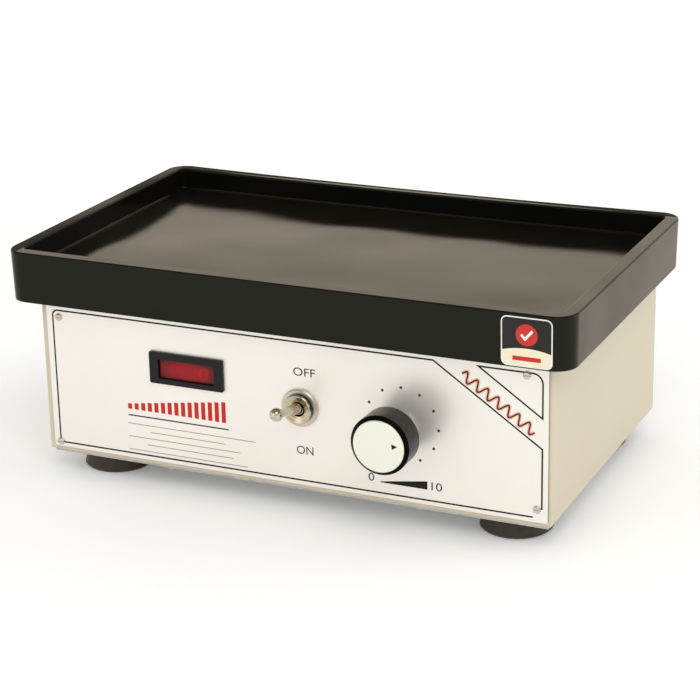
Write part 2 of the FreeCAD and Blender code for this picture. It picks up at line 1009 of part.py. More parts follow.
def spring_seats():
    seats = []
    for x, y in foot_places:
        disc = rod(seat_radius, x, y, seat_low, platform_low)
        spigot = rod(spigot_radius, x, y, seat_low - spigot_length, seat_low)
        bore_low = seat_low - spigot_length - cutter_reach
        bore = rod(seat_screw_radius + thread_gap, x, y, bore_low, platform_low + cutter_reach)
        seats.append(joined(disc, [spigot]).cut(bore))
    return group(seats)


def seat_screw_list(gap=0.0):
    sizes = (seat_screw_radius, seat_screw_head_radius, platform_thickness + seat_screw_grip)
    return [flat_screw(*sizes, seat_screw_slot, x, y, platform_top, gap) for x, y in foot_places]


def seat_screws():
    return group(seat_screw_list())


# Coil springs, each one unbroken wire of arcs

def spring_rise(turn):
    # Height of the wire's centre line after a number of turns: close end turns, open middle
    end_pitch = 2 * spring_wire_radius + spring_end_gap
    travel = spring_length - 2 * (spring_wire_radius + spring_seat_gap)
    middle_turns = spring_turns - 2
    middle_pitch = (travel - 2 * end_pitch) / middle_turns
    if turn <= 1:
        return end_pitch * turn
    if turn <= 1 + middle_turns:
        return end_pitch + middle_pitch * (turn - 1)
    return end_pitch + middle_pitch * middle_turns + end_pitch * (turn - 1 - middle_turns)


def spring_point(turn):
    radius = spring_outer_radius - spring_wire_radius
    angle = 2 * math.pi * turn
    return Vec(radius * math.cos(angle), radius * math.sin(angle), spring_rise(turn))


def spring_direction(turn):
    step = 0.01
    start = spring_point(max(turn - step, 0))
    end = spring_point(min(turn + step, spring_turns))
    direction = end - start
    if turn < step or turn > spring_turns - step:
        # At the ends the chord turns away from the wire by half its own angle
        radius = spring_outer_radius - spring_wire_radius
        angle = 2 * math.pi * turn
        rise = direction.z / step
        direction = Vec(-2 * math.pi * radius * math.sin(angle), 2 * math.pi * radius * math.cos(angle), rise)
    direction.normalize()
    return direction


def arc_from(start, direction, end):
    # The arc that leaves start along a direction and reaches end
    chord = end - start
    side = direction.cross(chord).cross(direction)
    side.normalize()
    radius = chord.Length ** 2 / (2 * chord.dot(side))
    centre = start + side * radius
    outward = (start - centre) + (end - centre)
    outward.normalize()
    return Part.Arc(start, centre + outward * radius, end).toShape()


def biarc(start, start_direction, end, end_direction):
    # Two arcs that share their tangent where they meet
    chord = end - start
    both = start_direction + end_direction
    spread = 2 * (1 - start_direction.dot(end_direction))
    along = chord.dot(both)
    reach = (-along + math.sqrt(along * along + spread * chord.dot(chord))) / spread
    first = start + start_direction * reach
    second = end - end_direction * reach
    middle = (first + second) * 0.5
    middle_direction = second - first
    middle_direction.normalize()
    return [arc_from(start, start_direction, middle), arc_from(middle, middle_direction, end)]


def spring_wire():
    quarters = 4 * spring_turns
    edges = []
    for quarter in range(quarters):
        turn = quarter / 4
        after = (quarter + 1) / 4
        edges += biarc(
            spring_point(turn), spring_direction(turn), spring_point(after), spring_direction(after)
        )
    path = Part.Wire(edges)
    section = Part.Wire(Part.Circle(spring_point(0), spring_direction(0), spring_wire_radius).toShape())
    sweep = Part.BRepOffsetAPI.MakePipeShell(path)
    sweep.add(section)
    sweep.build()
    sweep.makeSolid()
    return sweep.shape()


def spring_self_gap():
    # Least distance between neighbouring turns, measured on points of the centre line
    per_turn = 24
    points = [spring_point(step / per_turn) for step in range(per_turn * spring_turns + 1)]
    least = min(
        (points[far] - points[near]).Length
        for near in range(len(points))
        for far in range(near + per_turn // 2, len(points))
    )
    return least - 2 * spring_wire_radius


def springs():
    wire = spring_wire()
    placed = []
    for x, y in foot_places:
        spring = wire.copy()
        spring.translate(Vec(x, y, collar_top + spring_wire_radius + spring_seat_gap))
        placed.append(spring)
    return placed


# Rubber tray

def tray_wire(width, length, corner, z, bow):
    # Level at z, anticlockwise from the front right. Its rear side bends in at the middle, as soft walls do.
    right = width / 2 - corner
    rear = length / 2 - corner
    bend = (right ** 2 + bow ** 2) / (2 * bow)
    past = math.degrees(math.asin(right / bend))
    corners = [
        (right, -rear, -90, 0),
        (right, rear, 0, 90 + past),
        (-right, rear, 90 - past, 180),
        (-right, -rear, 180, 270),
    ]
    arcs = []
    for x, y, start, end in corners:
        middle = Vec(tray_shift_x + x, tray_shift_y + y, z)
        turns = [math.radians(turn) for turn in (start, (start + end) / 2, end)]
        arcs.append([middle + Vec(math.cos(turn), math.sin(turn), 0) * corner for turn in turns])
    edges = []
    for step, points in enumerate(arcs):
        edges.append(Part.Arc(*points).toShape())
        edges.append(Part.makeLine(points[2], arcs[(step + 1) % 4][0]))
    drawn_in = Vec(tray_shift_x, tray_shift_y + length / 2 - bow, z)
    edges[3] = Part.Arc(arcs[1][2], drawn_in, arcs[2][0]).toShape()
    return Part.Wire(edges)


def rubber_tray():
    centre = (tray_shift_x, tray_shift_y)
    floor_bow = tray_rear_bow * (floor_top - tray_low) / (tray_top - tray_low)
    low_width = tray_width - 2 * tray_draft
    low_length = tray_length - 2 * tray_draft
    outside = Part.makeLoft(
        [
            rounded_wire(low_width, low_length, tray_corner, tray_low, *centre),
            tray_wire(tray_width, tray_length, tray_corner, tray_top, tray_rear_bow),
        ],
        True,
        True,
    )
    mouth = (tray_width - 2 * tray_rim_width, tray_length - 2 * tray_rim_width)
    floor = (mouth[0] - 2 * tray_draft, mouth[1] - 2 * tray_draft)
    well = Part.makeLoft(
        [
            tray_wire(*floor, tray_inner_corner, floor_top, floor_bow),
            tray_wire(*mouth, tray_inner_corner, tray_top, tray_rear_bow),
        ],
        True,
        True,
    )
    floor_edges = [e for e in well.Edges if e.BoundBox.ZMax < floor_top + level_tolerance]
    well = well.makeFillet(tray_floor_edge, floor_edges)
    skirt = 2 * tray_skirt_wall
    pocket_levels = (tray_low - cutter_reach, platform_top)
    pocket = rounded_prism(low_width - skirt, low_length - skirt, tray_inner_corner, *pocket_levels, *centre)
    opening = Part.Face(tray_wire(*mouth, tray_inner_corner, tray_top, tray_rear_bow))
    above = opening.extrude(Vec(0, 0, cutter_reach))
    tray = without(outside, [well.fuse(above), pocket])
    top_edges = [e for e in tray.Edges if e.BoundBox.ZMin > tray_top - level_tolerance]
    return tray.makeFillet(tray_rim_edge, top_edges)


# Control board

def control_board():
    board = prism(control_board_width, control_board_depth, board_low, board_top, control_board_x)
    holes = [
        rod(board_screw_radius + hole_gap, x, y, board_low - cutter_reach, board_top + cutter_reach)
        for x, y in standoff_points()
    ]
    return without(board, holes)


def board_standoffs():
    standoffs = []
    for x, y in standoff_points():
        stem = rod(standoff_stem_radius, x, y, base_low, base_top)
        bar = hex_bar(standoff_flats, x, y, base_top, board_low)
        tapped_low = board_low - board_screw_grip - slip_gap
        tapped = rod(board_screw_radius + thread_gap, x, y, tapped_low, board_low + cutter_reach)
        standoffs.append(joined(bar, [stem]).cut(tapped))
    return group(standoffs)


def board_screws():
    screws = []
    for x, y in standoff_points():
        screws.append(pan_screw(
            board_screw_radius,
            board_screw_head_radius,
            board_screw_head_height,
            board_thickness + board_screw_grip,
            x,
            y,
            board_top,
            board_screw_slot,
        ))
    return group(screws)


def sink_face():
    # The heat sink's flat face, which the triac lies against
    return control_board_x - sink_width / 2


def heat_sink():
    face = sink_face()
    levels = (board_top, board_top + sink_height)
    back = block(face, face + sink_back, -sink_length / 2, sink_length / 2, *levels)
    fins = []
    for index in range(sink_fins):
        y = -sink_length / 2 + index * (sink_length - sink_fin) / (sink_fins - 1)
        fins.append(block(face, face + sink_width, y, y + sink_fin, *levels))
    return joined(back, fins)


def triac():
    face = sink_face()
    low = board_top + triac_lift
    case = block(face - triac_thickness, face, -triac_width / 2, triac_width / 2, low, low + triac_height)
    middle = face - triac_thickness / 2
    leads = []
    for step in (-1, 0, 1):
        leads.append(prism(triac_lead, triac_lead, board_top, low, middle, step * triac_lead_spacing))
    return joined(case, leads)


def block_well_place(way):
    x = control_board_x + (way - (block_ways - 1) / 2) * block_pitch
    y = -control_board_depth / 2 + 2 * standoff_inset + block_depth / 2
    return x, y


def terminal_block():
    high = board_top + block_height
    y = block_well_place(0)[1]
    body = prism(block_ways * block_pitch, block_depth, board_top, high, control_board_x, y)
    levels = (high - block_well_depth, high + cutter_reach)
    wells = [rod(block_well_radius, *block_well_place(way), *levels) for way in range(block_ways)]
    return without(body, wells)


def board_capacitor():
    y = sink_length / 2 + can_gap + can_radius
    can = turned([
        (0, 0),
        (can_radius, 0),
        (can_radius, can_height - can_edge),
        (can_radius - can_edge, can_height),
        (0, can_height),
    ])
    can.translate(Vec(control_board_x, y, board_top))
    return can


# Rear inlet and fuse

def socket_floor():
    return inlet_flange_thickness - socket_depth


def pin_places():
    return [(-pin_spacing, -pin_offset, 0), (pin_spacing, -pin_offset, 0), (0, pin_offset, earth_pin_extra)]


def power_inlet():
    flange = rounded_prism(
        inlet_flange_width, inlet_flange_height, inlet_flange_corner, 0, inlet_flange_thickness
    )
    body = prism(inlet_body_width, inlet_body_height, -inlet_body_depth, 0)
    cutters = [
        rounded_prism(
            socket_width, socket_height, socket_corner, socket_floor(), inlet_flange_thickness + cutter_reach
        )
    ]
    for x, y, extra in pin_places():
        slot = prism(
            pin_width + 2 * thread_gap, pin_height + 2 * thread_gap, -inlet_body_depth - cutter_reach, 0, x, y
        )
        cutters.append(slot)
    for side in (-1, 1):
        x = side * inlet_screw_spacing / 2
        cutters.append(rod(inlet_screw_radius + hole_gap, x, 0, -cutter_reach, cutter_reach))
    return on_rear(without(joined(flange, [body]), cutters), inlet_x, inlet_height)


def inlet_pins():
    pins = []
    for x, y, extra in pin_places():
        levels = (-inlet_body_depth - pin_tag, socket_floor() + pin_length + extra)
        pin = prism(pin_width, pin_height, *levels, x, y)
        pins.append(on_rear(pin, inlet_x, inlet_height))
    return group(pins)


def inlet_screws():
    screw = pan_screw(
        inlet_screw_radius,
        inlet_screw_head_radius,
        inlet_screw_head_height,
        inlet_screw_length,
        slot=inlet_screw_slot,
    )
    screw.translate(Vec(0, 0, inlet_flange_thickness))
    return group([
        on_rear(screw, inlet_x + side * inlet_screw_spacing / 2, inlet_height) for side in (-1, 1)
    ])


def fuse_holder():
    body = rod(fuse_body_radius, 0, 0, -fuse_body_depth, 0)
    flange = rod(fuse_flange_radius, 0, 0, 0, fuse_flange_thickness)
    bore_low = fuse_flange_thickness - fuse_bore_depth
    bore = rod(fuse_bore_radius, 0, 0, bore_low, fuse_flange_thickness + cutter_reach)
    return on_rear(joined(body, [flange]).cut(bore), fuse_x, fuse_height)


def fuse_nut():
    low = -sheet - fuse_nut_thickness
    nut = hex_bar(fuse_nut_flats, 0, 0, low, -sheet)
    nut = nut.cut(rod(fuse_body_radius + thread_gap, 0, 0, low - cutter_reach, cutter_reach))
    return on_rear(nut, fuse_x, fuse_height)


def fuse_cap():
    low = fuse_flange_thickness + fuse_cap_gap
    high = low + fuse_cap_height
    barrel = rod(fuse_bore_radius - running_gap, 0, 0, fuse_flange_thickness - fuse_barrel_length, low)
    head = rod(fuse_cap_radius, 0, 0, low, high)
    slot_length = 2 * (fuse_cap_radius + cutter_reach)
    slot = prism(slot_length, fuse_cap_slot_width, high - fuse_cap_slot_depth, high + cutter_reach)
    return on_rear(joined(head, [barrel]).cut(slot), fuse_x, fuse_height)


# Internal wiring

def bent_tube(points):
    # A round wire along straight runs joined by tangent arcs
    edges = []
    start = points[0]
    for before, corner, after in zip(points, points[1:], points[2:]):
        way_in = corner - before
        way_in.normalize()
        way_out = after - corner
        way_out.normalize()
        half_turn = way_in.getAngle(way_out) / 2
        tangent = wire_bend * math.tan(half_turn)
        inward = way_out - way_in
        inward.normalize()
        arc_middle = corner + inward * (wire_bend / math.cos(half_turn) - wire_bend)
        arc_start = corner - way_in * tangent
        arc_end = corner + way_out * tangent
        edges.append(Part.makeLine(start, arc_start))
        edges.append(Part.Arc(arc_start, arc_middle, arc_end).toShape())
        start = arc_end
    edges.append(Part.makeLine(start, points[-1]))
    first = points[1] - points[0]
    section = Part.Wire(Part.Circle(points[0], first, wire_radius).toShape())
    sweep = Part.BRepOffsetAPI.MakePipeShell(Part.Wire(edges))
    sweep.add(section)
    sweep.build()
    sweep.makeSolid()
    return sweep.shape()


def inlet_tag(index):
    x, height, extra = pin_places()[index]
    y = rear_face - inlet_body_depth - pin_tag
    return Vec(inlet_x - x, y, base_top + inlet_height + height)


def switch_tag(side, end):
    y = front_face + panel + bush_behind + switch_body_depth + tag_length
    return Vec(switch_x + side * tag_offset_x, y, base_top + switch_height + end * tag_offset_z)


def block_well(way):
    x, y = block_well_place(way)
    return Vec(x, y, board_top + block_height - block_well_depth)


def inlet_leads():
    # Live to the fuse, neutral to the switch, earth down to the base
    live = inlet_tag(1)
    fuse_end = Vec(fuse_x, rear_face - fuse_body_depth, base_top + fuse_height)
    lane = live.y - wire_inlet_run
    to_fuse = [live, Vec(live.x, lane, live.z), Vec(fuse_end.x, lane, fuse_end.z), fuse_end]
    neutral = inlet_tag(0)
    tag = switch_tag(1, -1)
    lane = tag.y + wire_lead_out
    to_switch = [neutral, Vec(neutral.x, lane, neutral.z), Vec(tag.x, lane, tag.z), tag]
    earth = inlet_tag(2)
    bend = Vec(earth.x, earth.y - wire_earth_run, earth.z)
    to_base = [earth, bend, Vec(bend.x, bend.y, base_top)]
    return [to_fuse, to_switch, to_base]


def switch_leads():
    # From the fuse round the magnet to the switch, and on to the terminal block
    start = Vec(fuse_x - fuse_body_radius, rear_face - fuse_lead_setback, base_top + fuse_height)
    lane_x = -core_width / 2 - wire_side_run
    tag = switch_tag(-1, 1)
    lane_y = tag.y + wire_lead_out
    from_fuse = [
        start,
        Vec(lane_x, start.y, start.z),
        Vec(lane_x, lane_y, tag.z),
        Vec(tag.x, lane_y, tag.z),
        tag,
    ]
    lower = switch_tag(-1, -1)
    well = block_well(block_ways - 1)
    onward = [
        lower,
        Vec(lower.x, lane_y, lower.z),
        Vec(well.x, lane_y, lower.z),
        Vec(well.x, well.y, lower.z),
        well,
    ]
    return [from_fuse, onward]


def coil_leads():
    front = -coil_outline()[1] / 2
    routes = []
    for index in range(2):
        height = base_top + wire_coil_height - index * wire_coil_step
        start = Vec(wire_coil_x * (1 + index), front, height)
        lane = front - wire_coil_run - index * wire_coil_step
        well = block_well(block_ways - 2 - index)
        routes.append([
            start,
            Vec(start.x, lane, height),
            Vec(well.x, lane, height),
            Vec(well.x, well.y, height),
            well,
        ])
    return routes


def pot_leads():
    low = board_top + wire_low
    tag_end = front_face + panel + pot_depth + pot_tag_length
    right = control_board_x + control_board_width / 2
    routes = []
    for index in range(3):
        x = pot_x + (index - 1) * pot_tag_spacing
        height = base_top + pot_height
        lane = tag_end + wire_pot_run + index * wire_pot_step
        end_x = right - standoff_inset - (2 - index) * wire_pot_spread
        end_y = -control_board_depth / 2 + 2 * standoff_inset + wire_pot_step / 2
        routes.append([
            Vec(x, tag_end, height),
            Vec(x, lane, height),
            Vec(x, lane, low),
            Vec(end_x, lane, low),
            Vec(end_x, end_y, low),
            Vec(end_x, end_y, board_top),
        ])
    return routes


def display_ribbon():
    # A flat cable, folded square, from the display board down to the control board
    x = display_x + ribbon_shift
    sides = (x - ribbon_width / 2, x + ribbon_width / 2)
    start = front_face + bezel_depth + board_thickness
    fold = start + ribbon_run
    end = -control_board_depth / 2 + ribbon_landing
    high = base_top + display_height - ribbon_height
    low = board_top + wire_low
    out = block(*sides, start, fold, high, high + ribbon_thickness)
    down = block(*sides, fold - ribbon_thickness, fold, low, high)
    across = block(*sides, fold - ribbon_thickness, end, low, low + ribbon_thickness)
    landing = block(*sides, end - ribbon_thickness, end, board_top, low)
    return joined(out, [down, across, landing])


def wiring():
    routes = inlet_leads() + switch_leads() + coil_leads() + pot_leads()
    return group([bent_tube(route) for route in routes] + [display_ribbon()])


# Every piece by name

def pieces():
    named = {
        "housing_shell": housing_shell(),
        "base_plate": base_plate(),
        "base_screws": base_screws(),
        "foot_screws": foot_screws(),
        "front_plate": front_plate(),
        "plate_screws": plate_screws(),
        "display_bezel": display_bezel(),
        "display_lens": display_lens(),
        "display_digits": display_digits(),
        "display_board": display_board(),
        "switch_bush": switch_bush(),
        "switch_nut": switch_nut(),
        "switch_back_nut": switch_back_nut(),
        "switch_body": switch_body(),
        "switch_terminals": switch_terminals(),
        "switch_lever": switch_lever(),
        "pot_body": pot_body(),
        "pot_nut": pot_nut(),
        "pot_terminals": pot_terminals(),
        "pot_shaft": pot_shaft(),
        "knob_body": knob_body(),
        "knob_cap": knob_cap(),
        "knob_grub_screw": knob_grub_screw(),
        "magnet_core": magnet_core(),
        "coil_bobbin": coil_bobbin(),
        "magnet_coil": magnet_coil(),
        "front_core_clamp": core_clamp(-1),
        "rear_core_clamp": core_clamp(1),
        "core_rivets": core_rivets(),
        "clamp_screws": clamp_screws(),
        "armature": armature(),
        "armature_columns": armature_columns(),
        "armature_screws": armature_screws(),
        "platform_plate": platform_plate(),
        "spring_posts": spring_posts(),
        "spring_seats": spring_seats(),
        "seat_screws": seat_screws(),
        "rubber_tray": rubber_tray(),
        "control_board": control_board(),
        "board_standoffs": board_standoffs(),
        "board_screws": board_screws(),
        "heat_sink": heat_sink(),
        "triac": triac(),
        "terminal_block": terminal_block(),
        "board_capacitor": board_capacitor(),
        "power_inlet": power_inlet(),
        "inlet_pins": inlet_pins(),
        "inlet_screws": inlet_screws(),
        "fuse_holder": fuse_holder(),
        "fuse_nut": fuse_nut(),
        "fuse_cap": fuse_cap(),
        "wiring": wiring(),
    }
    for corner, (x, y) in zip(corner_names, foot_places):
        named["foot_" + corner] = foot(x, y)
    for corner, spring in zip(corner_names, springs()):
        named["spring_" + corner] = spring
    return named


def footprint_middle(shapes):
    # The middle of the whole model seen from above
    whole = group(list(shapes)).BoundBox
    return Vec(whole.Center.x, whole.Center.y, 0)


def main():
    named = pieces()
    middle = footprint_middle(named.values())
    for name, shape in named.items():
        shape.translate(-middle)
        shape.exportStep("parts/" + name + ".step")
    print("pieces", len(named))
    print("box centre stands at", round(-middle.x, 4), round(-middle.y, 4))
    print("least gap between spring turns", round(spring_self_gap(), 3))


main()
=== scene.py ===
import bmesh
import bpy
import json
import math
from mathutils import Matrix, Vector


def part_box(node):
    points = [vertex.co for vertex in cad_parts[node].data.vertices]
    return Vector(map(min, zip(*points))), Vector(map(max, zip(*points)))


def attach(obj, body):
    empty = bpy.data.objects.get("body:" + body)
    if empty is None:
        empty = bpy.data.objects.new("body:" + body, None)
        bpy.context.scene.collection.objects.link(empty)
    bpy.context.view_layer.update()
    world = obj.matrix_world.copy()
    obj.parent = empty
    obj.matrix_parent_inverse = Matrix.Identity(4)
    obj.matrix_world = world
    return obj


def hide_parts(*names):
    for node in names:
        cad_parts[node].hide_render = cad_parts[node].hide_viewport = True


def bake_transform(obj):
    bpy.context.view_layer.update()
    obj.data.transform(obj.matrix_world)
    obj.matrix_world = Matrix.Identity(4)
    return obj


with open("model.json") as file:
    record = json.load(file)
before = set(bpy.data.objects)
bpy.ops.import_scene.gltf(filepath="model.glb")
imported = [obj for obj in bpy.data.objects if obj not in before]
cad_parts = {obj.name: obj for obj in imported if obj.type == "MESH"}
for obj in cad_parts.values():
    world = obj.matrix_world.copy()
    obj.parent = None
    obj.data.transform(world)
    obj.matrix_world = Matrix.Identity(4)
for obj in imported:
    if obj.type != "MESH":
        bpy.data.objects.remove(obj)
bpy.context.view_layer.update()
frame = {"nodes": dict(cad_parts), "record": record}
nodes = frame["nodes"]
mm = 0.001
print("frame loaded with", len(nodes), "nodes")

# Places that the printing, the sticker and some finishes are set by, all read from the frame
boxLow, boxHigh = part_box("housing_shell")
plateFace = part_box("front_plate")[0].y
capLow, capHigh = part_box("knob_cap")
digitsLow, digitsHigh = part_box("display_digits")
lensLow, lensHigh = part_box("display_lens")
trayLow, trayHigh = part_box("rubber_tray")
boxMiddle = (boxLow.x + boxHigh.x) / 2


# Colours are written as sRGB hex and turned to linear here
def linear(code):
    parts = [int(code[i:i + 2], 16) / 255 for i in (0, 2, 4)]
    return [c / 12.92 if c <= 0.04045 else ((c + 0.055) / 1.055) ** 2.4 for c in parts] + [1.0]


def firstOutput(node):
    return next(s for s in node.outputs if s.enabled)


# One node with its settings and links. An input is a plain value, a socket, or a node that gives its first
# output, and the new node's first output may feed a socket.
def addNode(tree, kind, inputs=(), feeds=None, **settings):
    node = tree.nodes.new("ShaderNode" + kind)
    for key, value in settings.items():
        setattr(node, key, value)
    for key, value in dict(inputs).items():
        socket = next(s for s in node.inputs if s.enabled and key in (s.identifier, s.name))
        if isinstance(value, bpy.types.Node):
            value = firstOutput(value)
        if isinstance(value, bpy.types.NodeSocket):
            tree.links.new(value, socket)
        else:
            socket.default_value = value
    if feeds:
        tree.links.new(firstOutput(node), feeds)
    return node


def startMaterial(name, sockets):
    made = bpy.data.materials.new(name)
    made.use_nodes = True
    tree = made.node_tree
    for key, value in sockets.items():
        tree.nodes["Principled BSDF"].inputs[key].default_value = value
    return made, tree, addNode(tree, "TexCoord").outputs["Object"]


# Colour between two tones, roughness, and relief with its depth in millimetres, each led by a pattern
def dress(made, tones, rough=None, relief=None):
    tree = made.node_tree
    sockets = tree.nodes["Principled BSDF"].inputs
    pattern, dark, light = tones
    addNode(tree, "Mix", {"Factor": pattern, "A": linear(dark), "B": linear(light)}, sockets["Base Color"],
            data_type="RGBA")
    if rough:
        pattern, low, high = rough
        addNode(tree, "MapRange", {"Value": pattern, "To Min": low, "To Max": high}, sockets["Roughness"])
    if relief:
        pattern, strength, depth = relief
        addNode(tree, "Bump", {"Height": pattern, "Strength": strength, "Distance": depth * mm},
                sockets["Normal"])
    return made


# Noise cells per metre for a grain of so many millimetres, and wave bands likewise
def grain(size):
    return 1 / (size * mm)


def bands(spacing):
    return math.pi / 10 / (spacing * mm)


# Stoved enamel, sprayed on folded steel: low gloss, a faint orange peel and a slow drift of tone
def creamEnamel():
    made, tree, spot = startMaterial("stoved cream enamel", {"IOR": 1.5})
    drift = addNode(tree, "TexNoise", {"Vector": spot, "Scale": grain(70), "Detail": 3.0})
    peel = addNode(tree, "TexNoise", {"Vector": spot, "Scale": grain(1.6), "Detail": 2.0})
    return dress(made, (drift, "CEC3A8", "D7CDB5"), (drift, 0.36, 0.5), (peel, 0.12, 0.05))


# Satin aluminium sheet: a pale metal with a cross brushing that blurs what it mirrors, and its edges painted
# dark grey as painted shade, a shadow line round the plate. The brushing is drawn coarser than it is, so that
# it shows.
def satinAluminium():
    made, tree, spot = startMaterial("satin aluminium sheet", {"Metallic": 0.55})
    stretched = addNode(tree, "Mapping", {"Vector": spot, "Scale": (grain(40), grain(40), grain(0.5))})
    brush = addNode(tree, "TexNoise", {"Vector": stretched, "Scale": 1.0, "Detail": 4.0})
    drift = addNode(tree, "TexNoise", {"Vector": spot, "Scale": grain(45), "Detail": 2.0})
    turned = addNode(tree, "SeparateXYZ", {"Vector": addNode(tree, "TexCoord").outputs["Normal"]})
    facing = addNode(tree, "Math", {"Value": turned.outputs["Y"]}, operation="ABSOLUTE")
    pale = addNode(tree, "MapRange", {"Value": drift, "To Min": 0.925, "To Max": 1.0})
    # Faces turned away from the front, the plate's edges, get the dark grey: a painted shadow line round the
    # plate
    paintedEdgeShade = addNode(tree, "Math", {"Value": facing, "Value_001": pale}, operation="MULTIPLY")
    return dress(made, (paintedEdgeShade, "6E6A5F", "F9F4EC"), (brush, 0.3, 0.42), (brush, 0.06, 0.02))


# Zinc plate on steel: bright, with a soft sheen and blotches, which are drawn large enough to show
def zincPlate():
    made, tree, spot = startMaterial("bright zinc plate", {"Metallic": 1.0})
    cells = addNode(tree, "TexVoronoi", {"Vector": spot, "Scale": grain(5)}).outputs["Color"]
    cloud = addNode(tree, "TexNoise", {"Vector": spot, "Scale": grain(2), "Detail": 4.0})
    return dress(made, (cells, "A9A9A6", "C3C3BF"), (cloud, 0.26, 0.46), (cloud, 0.08, 0.05))


# Nickel plate, polished on the lathe: warm and bright, with faint turning lines, drawn coarse enough to show
def nickelPlate():
    made, tree, spot = startMaterial("polished nickel plate", {"Metallic": 1.0})
    scuff = addNode(tree, "TexNoise", {"Vector": spot, "Scale": grain(1.2), "Detail": 5.0})
    lines = addNode(tree, "TexWave", {"Vector": spot, "Scale": bands(0.5), "Distortion": 0.6},
                    bands_direction="Y").outputs["Fac"]
    return dress(made, (scuff, "ADA38D", "CBC2AE"), (scuff, 0.12, 0.26), (lines, 0.06, 0.02))


# Nickel on a cut thread: the flat faces are bright, and the upright wall round them is painted dark, as
# painted shade and a painted dark reflection
def threadedNickel():
    made, tree, spot = startMaterial("threaded nickel plate", {"Metallic": 1.0, "Roughness": 0.2})
    turned = addNode(tree, "SeparateXYZ", {"Vector": addNode(tree, "TexCoord").outputs["Normal"]})
    facing = addNode(tree, "Math", {"Value": turned.outputs["Y"]}, operation="ABSOLUTE")
    # Faces that don't face forward get the dark tone: painted shade and dark reflection on the bush's wall
    paintedShadeMask = addNode(tree, "MapRange", {"Value": facing, "From Min": 0.2, "From Max": 0.6})
    grooves = addNode(tree, "TexWave", {"Vector": spot, "Scale": bands(0.75)},
                      bands_direction="Y").outputs["Fac"]
    return dress(made, (paintedShadeMask, "2E2820", "C4BAA5"), relief=(grooves, 0.3, 0.2))


# Chromium plate: bright and cold, it mirrors the white surround and the dark rim round it
def chromePlate():
    made, tree, spot = startMaterial("bright chromium plate", {"Metallic": 1.0})
    wear = addNode(tree, "TexNoise", {"Vector": spot, "Scale": grain(0.8), "Detail": 5.0})
    return dress(made, (wear, "B9B1A4", "D3CCC0"), (wear, 0.06, 0.16))


# Satin plate on the small screws and the dress ring: paler and duller than the polished lever
def satinPlate():
    made, tree, spot = startMaterial("satin nickel plate", {"Metallic": 0.85})
    cloud = addNode(tree, "TexNoise", {"Vector": spot, "Scale": grain(1.5), "Detail": 4.0})
    return dress(made, (cloud, "C2B9AD", "DCD5CB"), (cloud, 0.28, 0.42), (cloud, 0.06, 0.05))


# Moulded rubber: black, smooth from the mould but never quite flat, so what it mirrors at a low angle is
# wavy. Its walls are duller than its floor. The outer walls are painted a paler grey, as painted light, and
# the inner walls are left black, as painted shade. The soft rear and left ones sag, so their rims tip inwards.
# Shine and a warm sheen are given for the inner walls, the outer walls, the floor and the rim; the sheen,
# mottled and strongest on the outer walls, is partly dust and partly a painted warm reflection.
rubber = {"black": "0E0E0B", "paintedLightWall": "242520", "rough": (0.05, 0.14), "smear": 38, "shineTint": "B4AD9A",
          "shine": (0.03, 0.08, 0.5, 0.34), "dustAndSheenTint": "C89C48", "dustAndSheen": (0.03, (0.4, 0.62), 0.04, 0.04),
          "skin": 0.9, "skinShare": 0.006, "swell": 100, "swellDepth": 3.6,
          "rim": 7.4, "rimLap": 1.0, "rimTop": 0.3, "rearTip": 9.0, "leftTip": 13.0}


